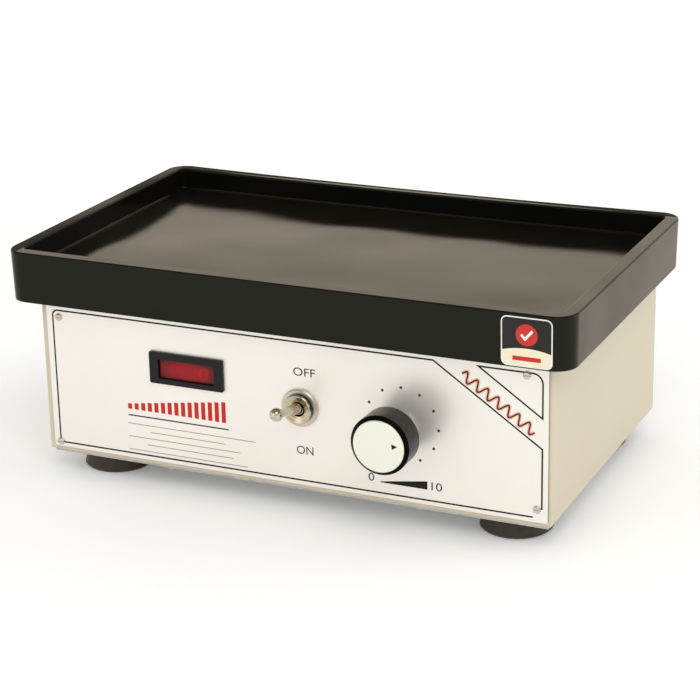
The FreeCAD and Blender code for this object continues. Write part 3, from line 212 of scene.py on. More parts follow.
def trayRubber(r):
    made, tree, spot = startMaterial("moulded black rubber", {
        "IOR": 1.5, "Specular Tint": linear(r["shineTint"]), "Sheen Tint": linear(r["dustAndSheenTint"]),
        "Sheen Roughness": 0.3})
    sockets = tree.nodes["Principled BSDF"].inputs
    smear = addNode(tree, "TexNoise", {"Vector": spot, "Scale": grain(r["smear"]), "Detail": 4.0,
                                       "Distortion": 0.7})
    skin = addNode(tree, "TexNoise", {"Vector": spot, "Scale": grain(r["skin"]), "Detail": 3.0})
    swell = addNode(tree, "TexNoise", {"Vector": spot, "Scale": grain(r["swell"]), "Detail": 1.0})

    # Level faces count as 1 and upright ones as 0, what lies as far out as the rim as 1 and the hollow as 0
    turned = addNode(tree, "SeparateXYZ", {"Vector": addNode(tree, "TexCoord").outputs["Normal"]})
    level = addNode(tree, "Math", {"Value": turned.outputs["Z"]}, operation="ABSOLUTE")
    middle, half = (trayLow + trayHigh) / 2, (trayHigh - trayLow) / 2
    inset = (r["rim"] - r["rimLap"]) * mm
    centred = addNode(tree, "VectorMath", {"Vector": spot, "Vector_001": middle}, operation="SUBTRACT")
    apart = addNode(tree, "VectorMath", {"Vector": centred}, operation="ABSOLUTE")
    beyond = addNode(tree, "VectorMath", {"Vector": apart, "Vector_001": (half.x - inset, half.y - inset, 0)},
                     operation="SUBTRACT")
    past = addNode(tree, "SeparateXYZ", {"Vector": beyond}).outputs
    furthest = addNode(tree, "Math", {"Value": past["X"], "Value_001": past["Y"]}, operation="MAXIMUM")
    outer = addNode(tree, "Math", {"Value": furthest, "Value_001": 0.0}, operation="GREATER_THAN")

    # Sheen: mottled and strongest on the outer walls, partly dust and partly a painted warm reflection
    innerDustSheen, (leastDustSheen, mostDustSheen), floorDustSheen, rimDustSheen = r["dustAndSheen"]
    mottled = addNode(tree, "MapRange", {"Value": smear, "To Min": leastDustSheen, "To Max": mostDustSheen})
    amounts = {"Specular IOR Level": r["shine"], "Sheen Weight": (innerDustSheen, mottled, floorDustSheen, rimDustSheen)}
    for name, (onInner, onOuter, onFloor, onRim) in amounts.items():
        wall = addNode(tree, "MapRange", {"Value": outer, "To Min": onInner, "To Max": onOuter})
        flat = addNode(tree, "MapRange", {"Value": outer, "To Min": onFloor, "To Max": onRim})
        addNode(tree, "MapRange", {"Value": level, "To Min": wall, "To Max": flat}, sockets[name])
    # Outer upright walls take the paler grey, painted light; the inner walls keep the black, painted shade
    paintedLightMask = addNode(tree, "Math", {"Value": outer, "Value_001": level},
                        operation="SUBTRACT", use_clamp=True)

    # The waves, then the rise of the tipped rims on top of them
    waves = addNode(tree, "Math", {"Value": skin, "Value_001": r["skinShare"], "Value_002": swell},
                    operation="MULTIPLY_ADD")
    wavy = addNode(tree, "Bump", {"Height": waves, "Distance": r["swellDepth"] * mm})
    place = addNode(tree, "SeparateXYZ", {"Vector": spot}).outputs
    rearEdge, leftEdge = trayHigh.y - r["rim"] * mm, trayLow.x + r["rim"] * mm
    overRear = addNode(tree, "Math", {"Value": place["Y"], "Value_001": rearEdge}, operation="SUBTRACT")
    overLeft = addNode(tree, "Math", {"Value": leftEdge, "Value_001": place["X"]}, operation="SUBTRACT")
    rises = []
    for over, tip in ((overRear, r["rearTip"]), (overLeft, r["leftTip"])):
        kept = addNode(tree, "Math", {"Value": over, "Value_001": 0.0}, operation="MAXIMUM")
        slope = math.tan(math.radians(tip))
        rises.append(addNode(tree, "Math", {"Value": kept, "Value_001": slope}, operation="MULTIPLY"))
    rise = addNode(tree, "Math", {"Value": rises[0], "Value_001": rises[1]}, operation="MAXIMUM")
    onTop = addNode(tree, "Math", {"Value": place["Z"], "Value_001": trayHigh.z - r["rimTop"] * mm},
                    operation="GREATER_THAN")
    rimRise = addNode(tree, "Math", {"Value": rise, "Value_001": onTop}, operation="MULTIPLY")
    addNode(tree, "Bump", {"Height": rimRise, "Distance": 1.0, "Normal": wavy}, sockets["Normal"])
    return dress(made, (paintedLightMask, r["black"], r["paintedLightWall"]), (smear, *r["rough"]))


# Foot rubber: the same stuff, matt and scuffed
def footRubber():
    made, tree, spot = startMaterial("matt foot rubber", {"IOR": 1.45, "Specular IOR Level": 0.35})
    scuff = addNode(tree, "TexNoise", {"Vector": spot, "Scale": grain(4), "Detail": 5.0})
    return dress(made, (scuff, "2C261D", "433B2F"), (scuff, 0.35, 0.55), (scuff, 0.2, 0.1))


# ABS, injection moulded: black, half gloss, with a spark grain that is drawn coarse enough to show
def blackAbs():
    made, tree, spot = startMaterial("moulded black ABS", {"IOR": 1.54, "Specular IOR Level": 0.24})
    spark = addNode(tree, "TexNoise", {"Vector": spot, "Scale": grain(0.7), "Detail": 3.0})
    return dress(made, (spark, "060605", "0E0C0B"), (spark, 0.26, 0.38), (spark, 0.08, 0.04))


# Phenolic knob: black and smooth. Where it faces forward its reflection is turned down so it shows deep black,
# as painted shade, and its side keeps more reflection, so it looks paler
def blackPhenolic():
    made, tree, spot = startMaterial("black phenolic", {"IOR": 1.55})
    sockets = tree.nodes["Principled BSDF"].inputs
    turned = addNode(tree, "SeparateXYZ", {"Vector": addNode(tree, "TexCoord").outputs["Normal"]})
    facing = addNode(tree, "Math", {"Value": turned.outputs["Y"]}, operation="ABSOLUTE")
    # Reflection set by facing: almost none on forward faces, painted shade, and more on the side
    addNode(tree, "MapRange", {"Value": facing, "From Min": 0.1, "From Max": 0.6,
                               "To Min": 0.24, "To Max": 0.02}, sockets["Specular IOR Level"])
    scuff = addNode(tree, "TexNoise", {"Vector": spot, "Scale": grain(3), "Detail": 4.0})
    return dress(made, (scuff, "060605", "0E0C0B"), (scuff, 0.2, 0.36))


# Tinted acrylic: clear red sheet, polished. Its colour is painted brighter in its middle, a painted glow, and
# darker towards the frame, painted shade
def redAcrylic():
    made, tree, spot = startMaterial("tinted red acrylic", {
        "IOR": 1.49, "Roughness": 0.1, "Transmission Weight": 0.35, "Specular IOR Level": 0.12})
    middle, half = (lensLow + lensHigh) / 2, (lensHigh - lensLow) / 2
    centred = addNode(tree, "VectorMath", {"Vector": spot, "Vector_001": middle}, operation="SUBTRACT")
    spread = addNode(tree, "VectorMath", {"Vector": centred, "Vector_001": (1 / half.x, 0, 1 / half.z)},
                     operation="MULTIPLY")
    away = addNode(tree, "VectorMath", {"Vector": spread}, operation="LENGTH")
    # Painted glow in the middle and painted shade of the frame towards the edges
    paintedGlowShade = addNode(tree, "MapRange", {"Value": away, "From Min": 0.35, "From Max": 1.15},
                   interpolation_type="SMOOTHSTEP")
    return dress(made, (paintedGlowShade, "BE1822", "74161A"))


# Digit module: a dark red plastic block behind the window
def digitModule():
    made, tree, spot = startMaterial("dark red module", {"Roughness": 0.5})
    speck = addNode(tree, "TexNoise", {"Vector": spot, "Scale": grain(1.5), "Detail": 2.0})
    return dress(made, (speck, "6A0E14", "801318"))


# Circuit board: green mask over glass cloth, tracks a little paler. The cloth is drawn coarse enough to show.
def circuitBoard():
    made, tree, spot = startMaterial("green solder mask", {"Roughness": 0.35, "IOR": 1.5})
    tracks = addNode(tree, "TexVoronoi", {"Vector": spot, "Scale": grain(6)},
                     distance="MANHATTAN").outputs["Color"]
    cloth = addNode(tree, "TexWave", {"Vector": spot, "Scale": bands(0.8)},
                    bands_direction="DIAGONAL").outputs["Fac"]
    return dress(made, (tracks, "14502A", "226B3A"), relief=(cloth, 0.08, 0.03))


# Knob cap: an anodised disc, faced on a lathe, so rings run round its middle, drawn coarse enough to show
def knobCapDisc():
    made, tree, spot = startMaterial("anodised silver disc", {"Metallic": 0.55})
    centred = addNode(tree, "Mapping", {"Vector": spot, "Location": -(capLow + capHigh) / 2})
    rings = addNode(tree, "TexWave", {"Vector": centred, "Scale": bands(0.5)},
                    wave_type="RINGS", rings_direction="Y").outputs["Fac"]
    return dress(made, (rings, "ECECDD", "F3F3E6"), (rings, 0.34, 0.42), (rings, 0.05, 0.02))


# Varnished laminations: stacked sheets whose edges show as lines, drawn a little coarse
def laminations():
    made, tree, spot = startMaterial("varnished laminations", {"Metallic": 0.6})
    sheets = addNode(tree, "TexWave", {"Vector": spot, "Scale": bands(0.7)},
                     bands_direction="Y").outputs["Fac"]
    return dress(made, (sheets, "3A3A3E", "5C5C61"), (sheets, 0.4, 0.55), (sheets, 0.3, 0.1))


# Enamelled copper wire, wound in level turns that are drawn thicker than they are, so that they show
def copperWinding():
    made, tree, spot = startMaterial("enamelled copper wire", {"Metallic": 0.85})
    turns = addNode(tree, "TexWave", {"Vector": spot, "Scale": bands(0.9)},
                    bands_direction="Z").outputs["Fac"]
    return dress(made, (turns, "7A3A1C", "C1703C"), (turns, 0.28, 0.42), (turns, 0.6, 0.2))


# Nylon, moulded: milky white with a soft face
def whiteNylon():
    made, tree, spot = startMaterial("moulded white nylon", {"IOR": 1.53, "Subsurface Weight": 0.1})
    cloud = addNode(tree, "TexNoise", {"Vector": spot, "Scale": grain(3), "Detail": 3.0})
    return dress(made, (cloud, "DAD8CE", "E8E6DD"), (cloud, 0.4, 0.55))


# Stamped brass: yellow metal, a little tarnished
def stampedBrass():
    made, tree, spot = startMaterial("stamped brass", {"Metallic": 1.0})
    tarnish = addNode(tree, "TexNoise", {"Vector": spot, "Scale": grain(2.5), "Detail": 4.0})
    return dress(made, (tarnish, "A5843F", "D2B469"), (tarnish, 0.2, 0.36))


# Drawn spring wire: dark bright steel, with flecks left by the die
def springWire():
    made, tree, spot = startMaterial("drawn spring steel", {"Metallic": 1.0})
    flecks = addNode(tree, "TexNoise", {"Vector": spot, "Scale": grain(0.8), "Detail": 5.0})
    return dress(made, (flecks, "77777A", "9C9C9F"), (flecks, 0.22, 0.38))


# Plain aluminium: extruded or drawn, with faint die lines, drawn coarse enough to show
def plainAluminium():
    made, tree, spot = startMaterial("plain aluminium", {"Metallic": 1.0})
    die = addNode(tree, "TexWave", {"Vector": spot, "Scale": bands(0.9), "Distortion": 1.0},
                  bands_direction="Y").outputs["Fac"]
    return dress(made, (die, "BDBDC0", "CDCDCF"), (die, 0.3, 0.42))


# PVC insulation: each lead has its own colour
leadColours = ("6B3A1E", "1E3F86", "2F6B34", "1A1A1A", "A32020", "C9B23A", "8C8C88")


def wireInsulation(colours):
    made, tree, _ = startMaterial("PVC wire insulation", {"Roughness": 0.42})
    sockets = tree.nodes["Principled BSDF"].inputs
    island = addNode(tree, "NewGeometry").outputs["Random Per Island"]
    ramp = addNode(tree, "ValToRGB", {"Fac": island}, sockets["Base Color"]).color_ramp
    ramp.interpolation = "CONSTANT"
    while len(ramp.elements) < len(colours):
        ramp.elements.new(1.0)
    for step, code in enumerate(colours):
        ramp.elements[step].position = step / len(colours)
        ramp.elements[step].color = linear(code)
    return made


# Screen printing ink: a thin matt film with pinholes of paler tone, drawn large enough to show
def printingInk(name, dark, light):
    made, tree, spot = startMaterial(name, {"Roughness": 0.55, "Specular IOR Level": 0.12})
    pinholes = addNode(tree, "TexNoise", {"Vector": spot, "Scale": grain(0.5), "Detail": 2.0})
    return dress(made, (pinholes, dark, light))


# Vinyl film: printed, with a smooth clear face
def vinylFilm(name, dark, light):
    made, tree, spot = startMaterial(name, {"Roughness": 0.3, "Specular IOR Level": 0.3})
    cloud = addNode(tree, "TexNoise", {"Vector": spot, "Scale": grain(3), "Detail": 2.0})
    return dress(made, (cloud, dark, light))


# Lit segment: amber plastic that glows dimly behind the red window
def segmentGlow():
    made, tree, spot = startMaterial("dim amber segment", {
        "Roughness": 0.4, "Emission Color": linear("F08A28"), "Emission Strength": 1.0})
    cloud = addNode(tree, "TexNoise", {"Vector": spot, "Scale": grain(1.5)})
    return dress(made, (cloud, "C2561F", "D66A2A"))


# Every CAD node takes the finish of its slot in the record, apart from a few that show one of their own
finishes = {
    "cream_enamel": creamEnamel(),
    "satin_aluminium": satinAluminium(),
    "zinc_plated_steel": zincPlate(),
    "nickel_plate": nickelPlate(),
    "black_rubber": trayRubber(rubber),
    "foot_rubber": footRubber(),
    "black_plastic": blackAbs(),
    "red_acrylic": redAcrylic(),
    "digit_module": digitModule(),
    "circuit_board": circuitBoard(),
    "silver_cap": knobCapDisc(),
    "electrical_steel": laminations(),
    "copper_winding": copperWinding(),
    "white_nylon": whiteNylon(),
    "brass_contacts": stampedBrass(),
    "spring_steel": springWire(),
    "bare_aluminium": plainAluminium(),
    "wire_insulation": wireInsulation(leadColours),
}
for part in frame["record"]["subparts"]:
    nodes[part["node"]].material_slots[0].material = finishes[part["material_slot"]]
duller = satinPlate()
ownFinishes = {"plate_screws": duller, "switch_nut": duller, "pot_nut": duller, "switch_lever": chromePlate(),
               "switch_bush": threadedNickel(), "knob_body": blackPhenolic()}
for name, finish in ownFinishes.items():
    nodes[name].material_slots[0].material = finish

# Coil springs between the housing and the platform, each copied to a piece of its own in place of its CAD node
coilSprings = {"corners": ("front_left", "front_right", "rear_left", "rear_right"), "endTurn": 3.1}


def fitSprings(s):
    for corner in s["corners"]:
        name = "spring_" + corner
        piece = bpy.data.objects.new("coil_" + corner, nodes[name].data.copy())
        bpy.context.scene.collection.objects.link(piece)
        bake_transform(piece)
        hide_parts(name)


fitSprings(coilSprings)
print("springs fitted between the housing and the platform")

blackInk = printingInk("black printing ink", "141412", "24231F")
redInk = printingInk("red printing ink", "C42A22", "D23A30")
darkRedInk = printingInk("dark red printing ink", "5A1A16", "742620")
peachInk = printingInk("peach printing ink", "EDBBA2", "F3C9B4")
greyInk = printingInk("grey printing ink", "8C8881", "A19D96")


# Flat printing is made of closed thin films. Outlines are in millimetres on a face: across, up and out of it.
def film(bm, outline, low, high, index=0):
    rings = []
    for level in (low, high):
        rings.append([bm.verts.new((across, up, level)) for across, up in outline])
    count = len(outline)
    faces = [bm.faces.new(rings[1]), bm.faces.new(rings[0][::-1])]
    for i in range(count):
        after = (i + 1) % count
        faces.append(bm.faces.new((rings[0][i], rings[0][after], rings[1][after], rings[1][i])))
    for face in faces:
        face.material_index = index


# A stroke of even width along a path, with mitred joints that don't run out far at a sharp turn
def stroke(bm, path, width, low, high, closed=False, index=0, mitreLimit=0.3):
    points = [Vector(p) for p in path]
    count = len(points)
    sides = []
    for i, point in enumerate(points):
        before = points[i - 1] if closed or i > 0 else None
        after = points[(i + 1) % count] if closed or i < count - 1 else None
        ways = [(b - a).normalized() for a, b in ((before, point), (point, after)) if a and b]
        normals = [Vector((-way.y, way.x)) for way in ways]
        mean = sum(normals, Vector((0, 0))).normalized()
        reach = width / 2 / max(mean.dot(normals[0]), mitreLimit)
        sides.append((point + mean * reach, point - mean * reach))
    spans = count if closed else count - 1
    verts = [[bm.verts.new((p.x, p.y, level)) for p in pair for level in (low, high)] for pair in sides]
    for i in range(spans):
        a, b = verts[i], verts[(i + 1) % count]
        quads = [(a[1], a[3], b[3], b[1]), (a[0], b[0], b[2], a[2]), (a[0], a[1], b[1], b[0]),
                 (a[3], a[2], b[2], b[3])]
        for quad in quads:
            bm.faces.new(quad).material_index = index
    if not closed:
        for end in (verts[0], verts[-1]):
            bm.faces.new((end[0], end[2], end[3], end[1])).material_index = index


# A path through corners, each given with its radius
def roundedPath(corners, steps=6):
    path = []
    count = len(corners)
    for i, (across, up, radius) in enumerate(corners):
        corner = Vector((across, up))
        if radius == 0:
            path.append(corner)
            continue
        back = (Vector(corners[i - 1][:2]) - corner).normalized()
        ahead = (Vector(corners[(i + 1) % count][:2]) - corner).normalized()
        half = back.angle(ahead) / 2
        middle = corner + (back + ahead).normalized() * (radius / math.sin(half))
        start = corner + back * (radius / math.tan(half)) - middle
        end = corner + ahead * (radius / math.tan(half)) - middle
        for step in range(steps + 1):
            path.append(middle + start.slerp(end, step / steps).normalized() * radius)
    return path


def circlePath(across, up, radius, sides):
    turns = [2 * math.pi * i / sides for i in range(sides)]
    return [(across + radius * math.cos(t), up + radius * math.sin(t)) for t in turns]


# The films of one piece become one mesh, standing on a face of the part
def layOn(name, bm, face, inks, body):
    bmesh.ops.recalc_face_normals(bm, faces=bm.faces)
    mesh = bpy.data.meshes.new(name)
    bm.to_mesh(mesh)
    bm.free()
    mesh.transform(face)
    for ink in inks:
        mesh.materials.append(ink)
    piece = bpy.data.objects.new(name, mesh)
    bpy.context.scene.collection.objects.link(piece)
    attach(piece, body)


# A front face: its origin, then across to the right, up, and out towards the viewer
def frontFace(origin, lean=0.0):
    turn = Matrix(((mm, 0, 0, 0), (0, 0, -mm, 0), (0, mm, 0, 0), (0, 0, 0, 1)))
    return Matrix.Translation(origin) @ Matrix.Rotation(lean, 4, "X") @ turn


onPlate = frontFace(Vector((boxMiddle, plateFace, boxLow.z)))

# Border line round the plate, open at the lower right screw, and a closed line round the corner that a
# slanted band cuts off above it
border = {"left": -132.7, "right": 135.5, "low": 5.0, "high": 78.5, "corner": 3.0, "line": 0.85,
          "cutRight": 40.6, "cutTop": 79.9, "tipRight": 56.2, "tipTop": 103.1, "tipCorner": 5.0,
          "screwGap": 4.5, "film": (-0.01, 0.03)}


def printBorder(b):
    bm = bmesh.new()
    left, right, low, high, gap = (b[key] for key in ("left", "right", "low", "high", "screwGap"))
    main = [(right, low + gap, 0), (right, b["cutRight"], 0), (b["cutTop"], high, 0),
            (left, high, b["corner"]), (left, low, b["corner"]), (right - gap, low, 0)]
    tip = [(right, b["tipRight"], 0), (right, high, b["tipCorner"]), (b["tipTop"], high, 0)]
    stroke(bm, roundedPath(main), b["line"], *b["film"])
    stroke(bm, roundedPath(tip), b["line"], *b["film"], closed=True)
    layOn("printed_border", bm, onPlate, [blackInk], "housing")


printBorder(border)

# A wave along the slanted band: a pale broad line under a dark narrow one
bandWave = {"start": (94.8, 73.6), "end": (131.6, 48.7), "cycles": 7, "swing": 2.6, "broad": 1.9,
            "narrow": 0.8, "points": 112, "under": (-0.01, 0.02), "over": (0.0, 0.035)}


def printBandWave(w):
    bm = bmesh.new()
    start, end = Vector(w["start"]), Vector(w["end"])
    along = end - start
    side = Vector((-along.y, along.x)).normalized()
    path = []
    for i in range(w["points"] + 1):
        share = i / w["points"]
        swing = w["swing"] * math.sin(2 * math.pi * w["cycles"] * share)
        path.append(start + along * share + side * swing)
    stroke(bm, path, w["broad"], *w["under"], index=0)
    stroke(bm, path, w["narrow"], *w["over"], index=1)
    layOn("printed_band_wave", bm, onPlate, [peachInk, darkRedInk], "housing")


printBandWave(bandWave)

# Dots round the knob, one for each twelfth of a turn, and a rising wedge under it
dial = {"middle": (63.0, 42.5), "ring": 19.6, "dot": 0.75, "dotSides": 20, "first": 240, "step": 30,
        "count": 11, "wedge": (51.5, 76.5), "wedgeFoot": 10.6, "wedgeLow": 0.5, "wedgeHigh": 4.4,
        "film": (-0.01, 0.03)}


def printDial(d):
    bm = bmesh.new()
    for i in range(d["count"]):
        turn = math.radians(d["first"] - d["step"] * i)
        across = d["middle"][0] + d["ring"] * math.cos(turn)
        up = d["middle"][1] + d["ring"] * math.sin(turn)
        film(bm, circlePath(across, up, d["dot"], d["dotSides"]), *d["film"], index=1)
    left, right = d["wedge"]
    foot = d["wedgeFoot"]
    film(bm, [(left, foot), (right, foot), (right, foot + d["wedgeHigh"]), (left, foot + d["wedgeLow"])],
         *d["film"], index=0)
    layOn("printed_dial", bm, onPlate, [blackInk, darkRedInk], "housing")


printDial(dial)

# Words and numbers on the plate: text, middle, width and height of the capitals
plateWords = {
    "printed_off": ("OFF", (11.2, 63.0), 11.9, 4.3),
    "printed_on": ("ON", (10.6, 21.4), 9.1, 4.3),
    "printed_zero": ("0", (46.6, 12.8), 3.0, 4.3),
    "printed_ten": ("10", (81.4, 12.8), 5.6, 4.3),
}


def printWords(words, filmDepth=0.03, curveSteps=6):
    for name, (text, middle, width, height) in words.items():
        curve = bpy.data.curves.new(name + "_outline", "FONT")
        curve.body = text
        curve.extrude = filmDepth / 2
        curve.resolution_u = curveSteps
        outline = bpy.data.objects.new(name + "_outline", curve)
        bpy.context.scene.collection.objects.link(outline)
        bpy.context.view_layer.update()
        bm = bmesh.new()
        flat = bpy.data.meshes.new_from_object(outline)
        bm.from_mesh(flat)
        bpy.data.objects.remove(outline)
        bpy.data.curves.remove(curve)
        bpy.data.meshes.remove(flat)
        lows = [min(v.co[i] for v in bm.verts) for i in (0, 1)]
        highs = [max(v.co[i] for v in bm.verts) for i in (0, 1)]
        for v in bm.verts:
            v.co.x = middle[0] + ((v.co.x - lows[0]) / (highs[0] - lows[0]) - 0.5) * width
            v.co.y = middle[1] + ((v.co.y - lows[1]) / (highs[1] - lows[1]) - 0.5) * height
            v.co.z += filmDepth / 2
        layOn(name, bm, onPlate, [blackInk], "housing")


printWords(plateWords)

# Under the display: red bars that rise to the right, a rule at its height and width, and lines to write on,
# each as its height and its two ends
notePanel = {"left": -90.5, "right": -32.0, "foot": 29.6, "bars": 15, "barShare": 0.62, "low": 3.0,
             "high": 11.2, "rule": (26.2, 0.7), "line": 0.4, "film": (-0.01, 0.03),
             "lines": [(21.6, -91, -17), (18.0, -78, -34), (14.4, -91, -26), (10.8, -80, -30),
                       (7.2, -91, -22)]}


def printNotePanel(n):
    bm = bmesh.new()
    pitch = (n["right"] - n["left"]) / n["bars"]
    for i in range(n["bars"]):
        left = n["left"] + i * pitch
        right = left + pitch * n["barShare"]
        top = n["foot"] + n["low"] + (n["high"] - n["low"]) * i / (n["bars"] - 1)
        film(bm, [(left, n["foot"]), (right, n["foot"]), (right, top), (left, top)], *n["film"], index=0)
    up, width = n["rule"]
    stroke(bm, [(n["left"], up), (n["right"], up)], width, *n["film"], index=1)
    for up, left, right in n["lines"]:
        stroke(bm, [(left, up), (right, up)], n["line"], *n["film"], index=2)
    layOn("printed_note_panel", bm, onPlate, [redInk, blackInk, greyInk], "housing")


printNotePanel(notePanel)

# Pointer on the knob's cap, a small black triangle
pointer = {"tip": 9.9, "back": 7.0, "half": 1.47, "turn": 7.6, "film": (-0.01, 0.03)}


def printPointer(p):
    bm = bmesh.new()
    film(bm, [(p["back"], -p["half"]), (p["tip"], 0.0), (p["back"], p["half"])], *p["film"])
    middle = (capLow + capHigh) / 2
    turn = Matrix.Rotation(math.radians(p["turn"]), 4, "Z")
    onCap = frontFace(Vector((middle.x, capLow.y, middle.z))) @ turn
    layOn("printed_pointer", bm, onCap, [blackInk], "regulator_knob")


printPointer(pointer)

# Segments of the display, three figures, of which only the last is dimly lit as a nought
figures = {"count": 3, "width": 3.5, "height": 5.4, "pitch": 8.0, "last": 8.8, "drop": 0.9, "bar": 0.8,
           "lean": 0.09, "gap": 0.25, "film": (-0.02, 0.08)}


def showFigures(f):
    bm = bmesh.new()
    half, tall, gap = f["width"] / 2, f["height"] / 2, f["gap"]
    outside = [((-half + gap, tall), (half - gap, tall)), ((half, tall - gap), (half, gap)),
               ((half, -gap), (half, -tall + gap)), ((-half + gap, -tall), (half - gap, -tall)),
               ((-half, -gap), (-half, -tall + gap)), ((-half, tall - gap), (-half, gap))]
    across = ((-half + gap, 0), (half - gap, 0))
    for figure in range(f["count"]):
        middle = f["last"] - f["pitch"] * figure
        for ends in outside + [across]:
            lit = figure == 0 and ends in outside
            path = [(middle + side + up * f["lean"], up - f["drop"]) for side, up in ends]
            stroke(bm, path, f["bar"], *f["film"], index=0 if lit else 1)
    middle = (digitsLow + digitsHigh) / 2
    onDigits = frontFace(Vector((middle.x, digitsLow.y, middle.z)))
    dull = vinylFilm("unlit segment", "5A1014", "6A1418")
    layOn("display_figures", bm, onDigits, [segmentGlow(), dull], "housing")


showFigures(figures)

# Sticker on the tray's front: white edge, black field with a ticked red disc, cream band below. The tray's
# wall leans out by its draft over its height, and the steps are the heights of the films.
sticker = {"fromRight": 21.8, "upFromLow": 12.9, "width": 25.4, "height": 24.6, "corner": 3.0, "edge": 0.6,
           "band": 7.6, "crown": 1.7, "crownSteps": 12, "disc": 5.4, "discUp": 3.6, "discSides": 40,
           "tick": [(-2.7, 0.1), (-0.8, -2.0), (2.9, 2.3)], "tickWidth": 1.3, "bar": (7.0, 1.1),
           "draft": 0.5, "steps": (0.02, 0.16, 0.19, 0.22, 0.25)}


def layTraySticker(s):
    bm = bmesh.new()
    base, white, panel, disc, tick = s["steps"]
    w, h, r, e = s["width"] / 2, s["height"] / 2, s["corner"], s["edge"]
    film(bm, roundedPath([(-w, -h, r), (w, -h, r), (w, h, r), (-w, h, r)]), base, white, index=0)
    split = -h + s["band"]
    inner = r - e
    crown = []
    for step in range(s["crownSteps"] + 1):
        share = 2 * step / s["crownSteps"] - 1
        crown.append(((w - e) * share, split + s["crown"] * (1 - share ** 2), 0))
    upper = crown + [(w - e, h - e, inner), (-w + e, h - e, inner)]
    lower = crown[::-1] + [(-w + e, -h + e, inner), (w - e, -h + e, inner)]
    film(bm, roundedPath(upper), white, panel, index=1)
    film(bm, roundedPath(lower), white, panel, index=2)
    film(bm, circlePath(0, s["discUp"], s["disc"], s["discSides"]), panel, disc, index=3)
    stroke(bm, [(x, y + s["discUp"]) for x, y in s["tick"]], s["tickWidth"], disc, tick, index=0)
    barHalf, barTall = s["bar"]
    barUp = -h + e + (s["band"] - e) / 2
    film(bm, [(-barHalf, barUp - barTall), (barHalf, barUp - barTall), (barHalf, barUp + barTall),
              (-barHalf, barUp + barTall)], panel, disc, index=3)
    tall = trayHigh.z - trayLow.z
    draft = s["draft"] * mm
    up = s["upFromLow"] * mm
    spot = Vector((trayHigh.x - s["fromRight"] * mm, trayLow.y + draft * (1 - up / tall), trayLow.z + up))
    vinyl = [vinylFilm("white vinyl film", "EFEDE6", "F6F4EE"),
             vinylFilm("black vinyl film", "171615", "201F1D"),
             vinylFilm("cream vinyl film", "F3E6C4", "F8EED2"),
             vinylFilm("red vinyl film", "C62B25", "D4382F")]
    layOn("tray_sticker", bm, frontFace(spot, math.atan(draft / tall)), vinyl, "tray")


layTraySticker(sticker)
print("printing, figures and sticker laid on")

# Stage: a white floor, seen only from above, that pales away from the object over so many metres, and a
# surround that gives white light. What mirrors it sees a cream backdrop, up to so many degrees over the
# horizon, and a dimmer room above.
stage = {"radius": 6.0, "sides": 96, "drop": 0.2, "floor": "F8F8F6", "lift": 0.12, "pale": (0.45, 1.5),
         "surround": 0.8, "light": "FFFFFF", "backdrop": "FFF3DE", "backdropTop": (22.0, 32.0), "room": 0.35}


# Two switches: 1 for a ray that metal or glass sends on, and 1 for that or a ray from the camera. The light
# that falls on the object is 0 in both.
def raySwitches(tree):
    rays = addNode(tree, "LightPath").outputs
    glossy, through = rays["Is Glossy Ray"], rays["Is Transmission Ray"]
    mirrored = addNode(tree, "Math", {"Value": glossy, "Value_001": through}, operation="ADD", use_clamp=True)
    seen = addNode(tree, "Math", {"Value": rays["Is Camera Ray"], "Value_001": mirrored},
                   operation="ADD", use_clamp=True)
    return mirrored, seen


# Paper sweep: matt and white
def layFloor(s):
    bm = bmesh.new()
    bmesh.ops.create_circle(bm, cap_ends=True, segments=s["sides"], radius=s["radius"])
    mesh = bpy.data.meshes.new("floor")
    bm.to_mesh(mesh)
    bm.free()
    floor = bpy.data.objects.new("floor", mesh)
    floor.location.z = -s["drop"] * mm
    bpy.context.scene.collection.objects.link(floor)
    paper, tree, _ = startMaterial("white paper sweep", {
        "Base Color": linear(s["floor"]), "Roughness": 0.9, "Specular IOR Level": 0.1,
        "Emission Color": linear("FFFFFF")})
    shader = tree.nodes["Principled BSDF"]
    mirrored, seen = raySwitches(tree)
    place = addNode(tree, "NewGeometry").outputs
    away = addNode(tree, "VectorMath", {"Vector": place["Position"]}, operation="LENGTH")
    near, far = s["pale"]
    pale = addNode(tree, "MapRange", {"Value": away, "From Min": near, "From Max": far, "To Min": s["lift"],
                                      "To Max": 1.0}, interpolation_type="SMOOTHSTEP")
    glow = addNode(tree, "MapRange", {"Value": mirrored, "To Min": pale, "To Max": s["lift"]})
    addNode(tree, "Math", {"Value": seen, "Value_001": glow}, shader.inputs["Emission Strength"],
            operation="MULTIPLY")
    clear = addNode(tree, "BsdfTransparent")
    addNode(tree, "MixShader", {"Fac": place["Backfacing"], "Shader": shader, "Shader_001": clear},
            tree.nodes["Material Output"].inputs["Surface"])
    mesh.materials.append(paper)


def setSurround(s):
    world = bpy.data.worlds.new("white surround")
    bpy.context.scene.world = world
    world.use_nodes = True
    tree = world.node_tree
    sockets = tree.nodes["Background"].inputs
    mirrored, seen = raySwitches(tree)
    way = addNode(tree, "SeparateXYZ", {"Vector": addNode(tree, "TexCoord").outputs["Generated"]})
    low, high = (math.sin(math.radians(angle)) for angle in s["backdropTop"])
    wall = addNode(tree, "MapRange", {"Value": way.outputs["Z"], "From Min": low, "From Max": high,
                                      "To Min": 1.0, "To Max": s["room"]}, interpolation_type="SMOOTHSTEP")
    shown = addNode(tree, "MapRange", {"Value": mirrored, "To Min": 1.0, "To Max": wall})
    addNode(tree, "MapRange", {"Value": seen, "To Min": s["surround"], "To Max": shown}, sockets["Strength"])
    addNode(tree, "Mix", {"Factor": mirrored, "A": linear(s["light"]), "B": linear(s["backdrop"])},
            sockets["Color"], data_type="RGBA")


layFloor(stage)
setSurround(stage)

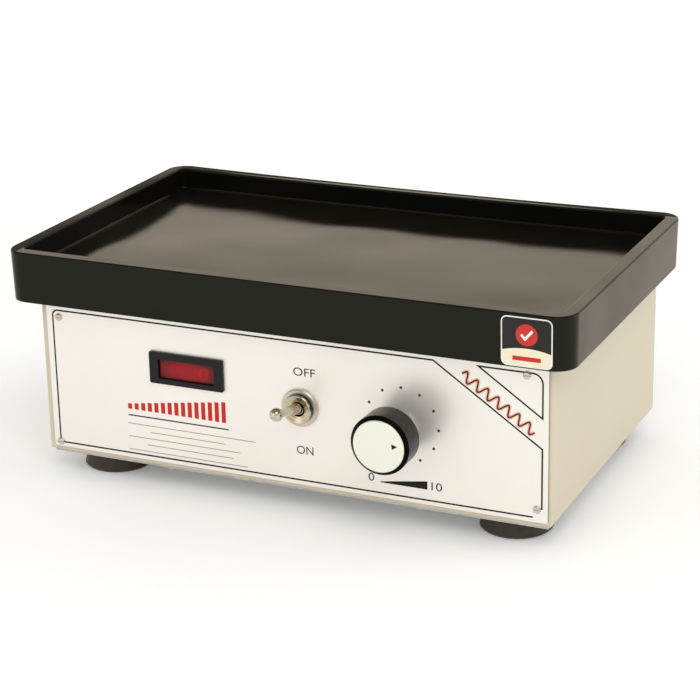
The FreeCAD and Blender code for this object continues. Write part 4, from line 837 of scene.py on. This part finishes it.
# Soft boxes: name, place, aim, size and watts
softBoxes = {
    "key_box": ((0.9, -1.5, 2.0), (0, 0, 0.06), 1.4, 13.5),
    "side_box": ((2.0, 0.9, 0.9), (0, 0, 0.06), 1.4, 9.5),
    "front_box": ((-1.2, -2.1, 0.9), (0, 0, 0.06), 1.2, 3.4),
}


def hangSoftBoxes(boxes):
    for name, (place, aim, size, watts) in boxes.items():
        light = bpy.data.lights.new(name, "AREA")
        light.size = size
        light.energy = watts
        holder = bpy.data.objects.new(name, light)
        holder.location = place
        holder.rotation_euler = (Vector(aim) - Vector(place)).to_track_quat("-Z", "Y").to_euler()
        bpy.context.scene.collection.objects.link(holder)


hangSoftBoxes(softBoxes)

# Camera: where it stood, how it was turned, and its lens for a square picture of 700 pixels
camera = {"place": (0.4397, -0.9505, 0.4355), "azimuth": 24.568, "elevation": 18.838, "roll": -1.188,
          "focalPixels": 2102.5, "axisPixel": (351.4, 318.6), "picture": 700, "sensor": 36.0}


def setCamera(c):
    turn, tilt, roll = (math.radians(c[key]) for key in ("azimuth", "elevation", "roll"))
    ahead = Vector((-math.sin(turn) * math.cos(tilt), math.cos(turn) * math.cos(tilt), -math.sin(tilt)))
    right = Vector((math.cos(turn), math.sin(turn), 0))
    up = right.cross(ahead)
    rolledRight = right * math.cos(roll) + up * math.sin(roll)
    rolledUp = up * math.cos(roll) - right * math.sin(roll)
    lens = bpy.data.cameras.new("photo_camera")
    lens.sensor_width = c["sensor"]
    lens.lens = c["sensor"] * c["focalPixels"] / c["picture"]
    lens.shift_x = (c["picture"] / 2 - c["axisPixel"][0]) / c["picture"]
    lens.shift_y = (c["axisPixel"][1] - c["picture"] / 2) / c["picture"]
    holder = bpy.data.objects.new("photo_camera", lens)
    facing = Matrix((rolledRight, rolledUp, -ahead)).transposed().to_4x4()
    holder.matrix_world = Matrix.Translation(c["place"]) @ facing
    bpy.context.scene.collection.objects.link(holder)
    bpy.context.scene.camera = holder


setCamera(camera)
bpy.context.scene.view_settings.view_transform = "Standard"
print("stage, lights and camera set")
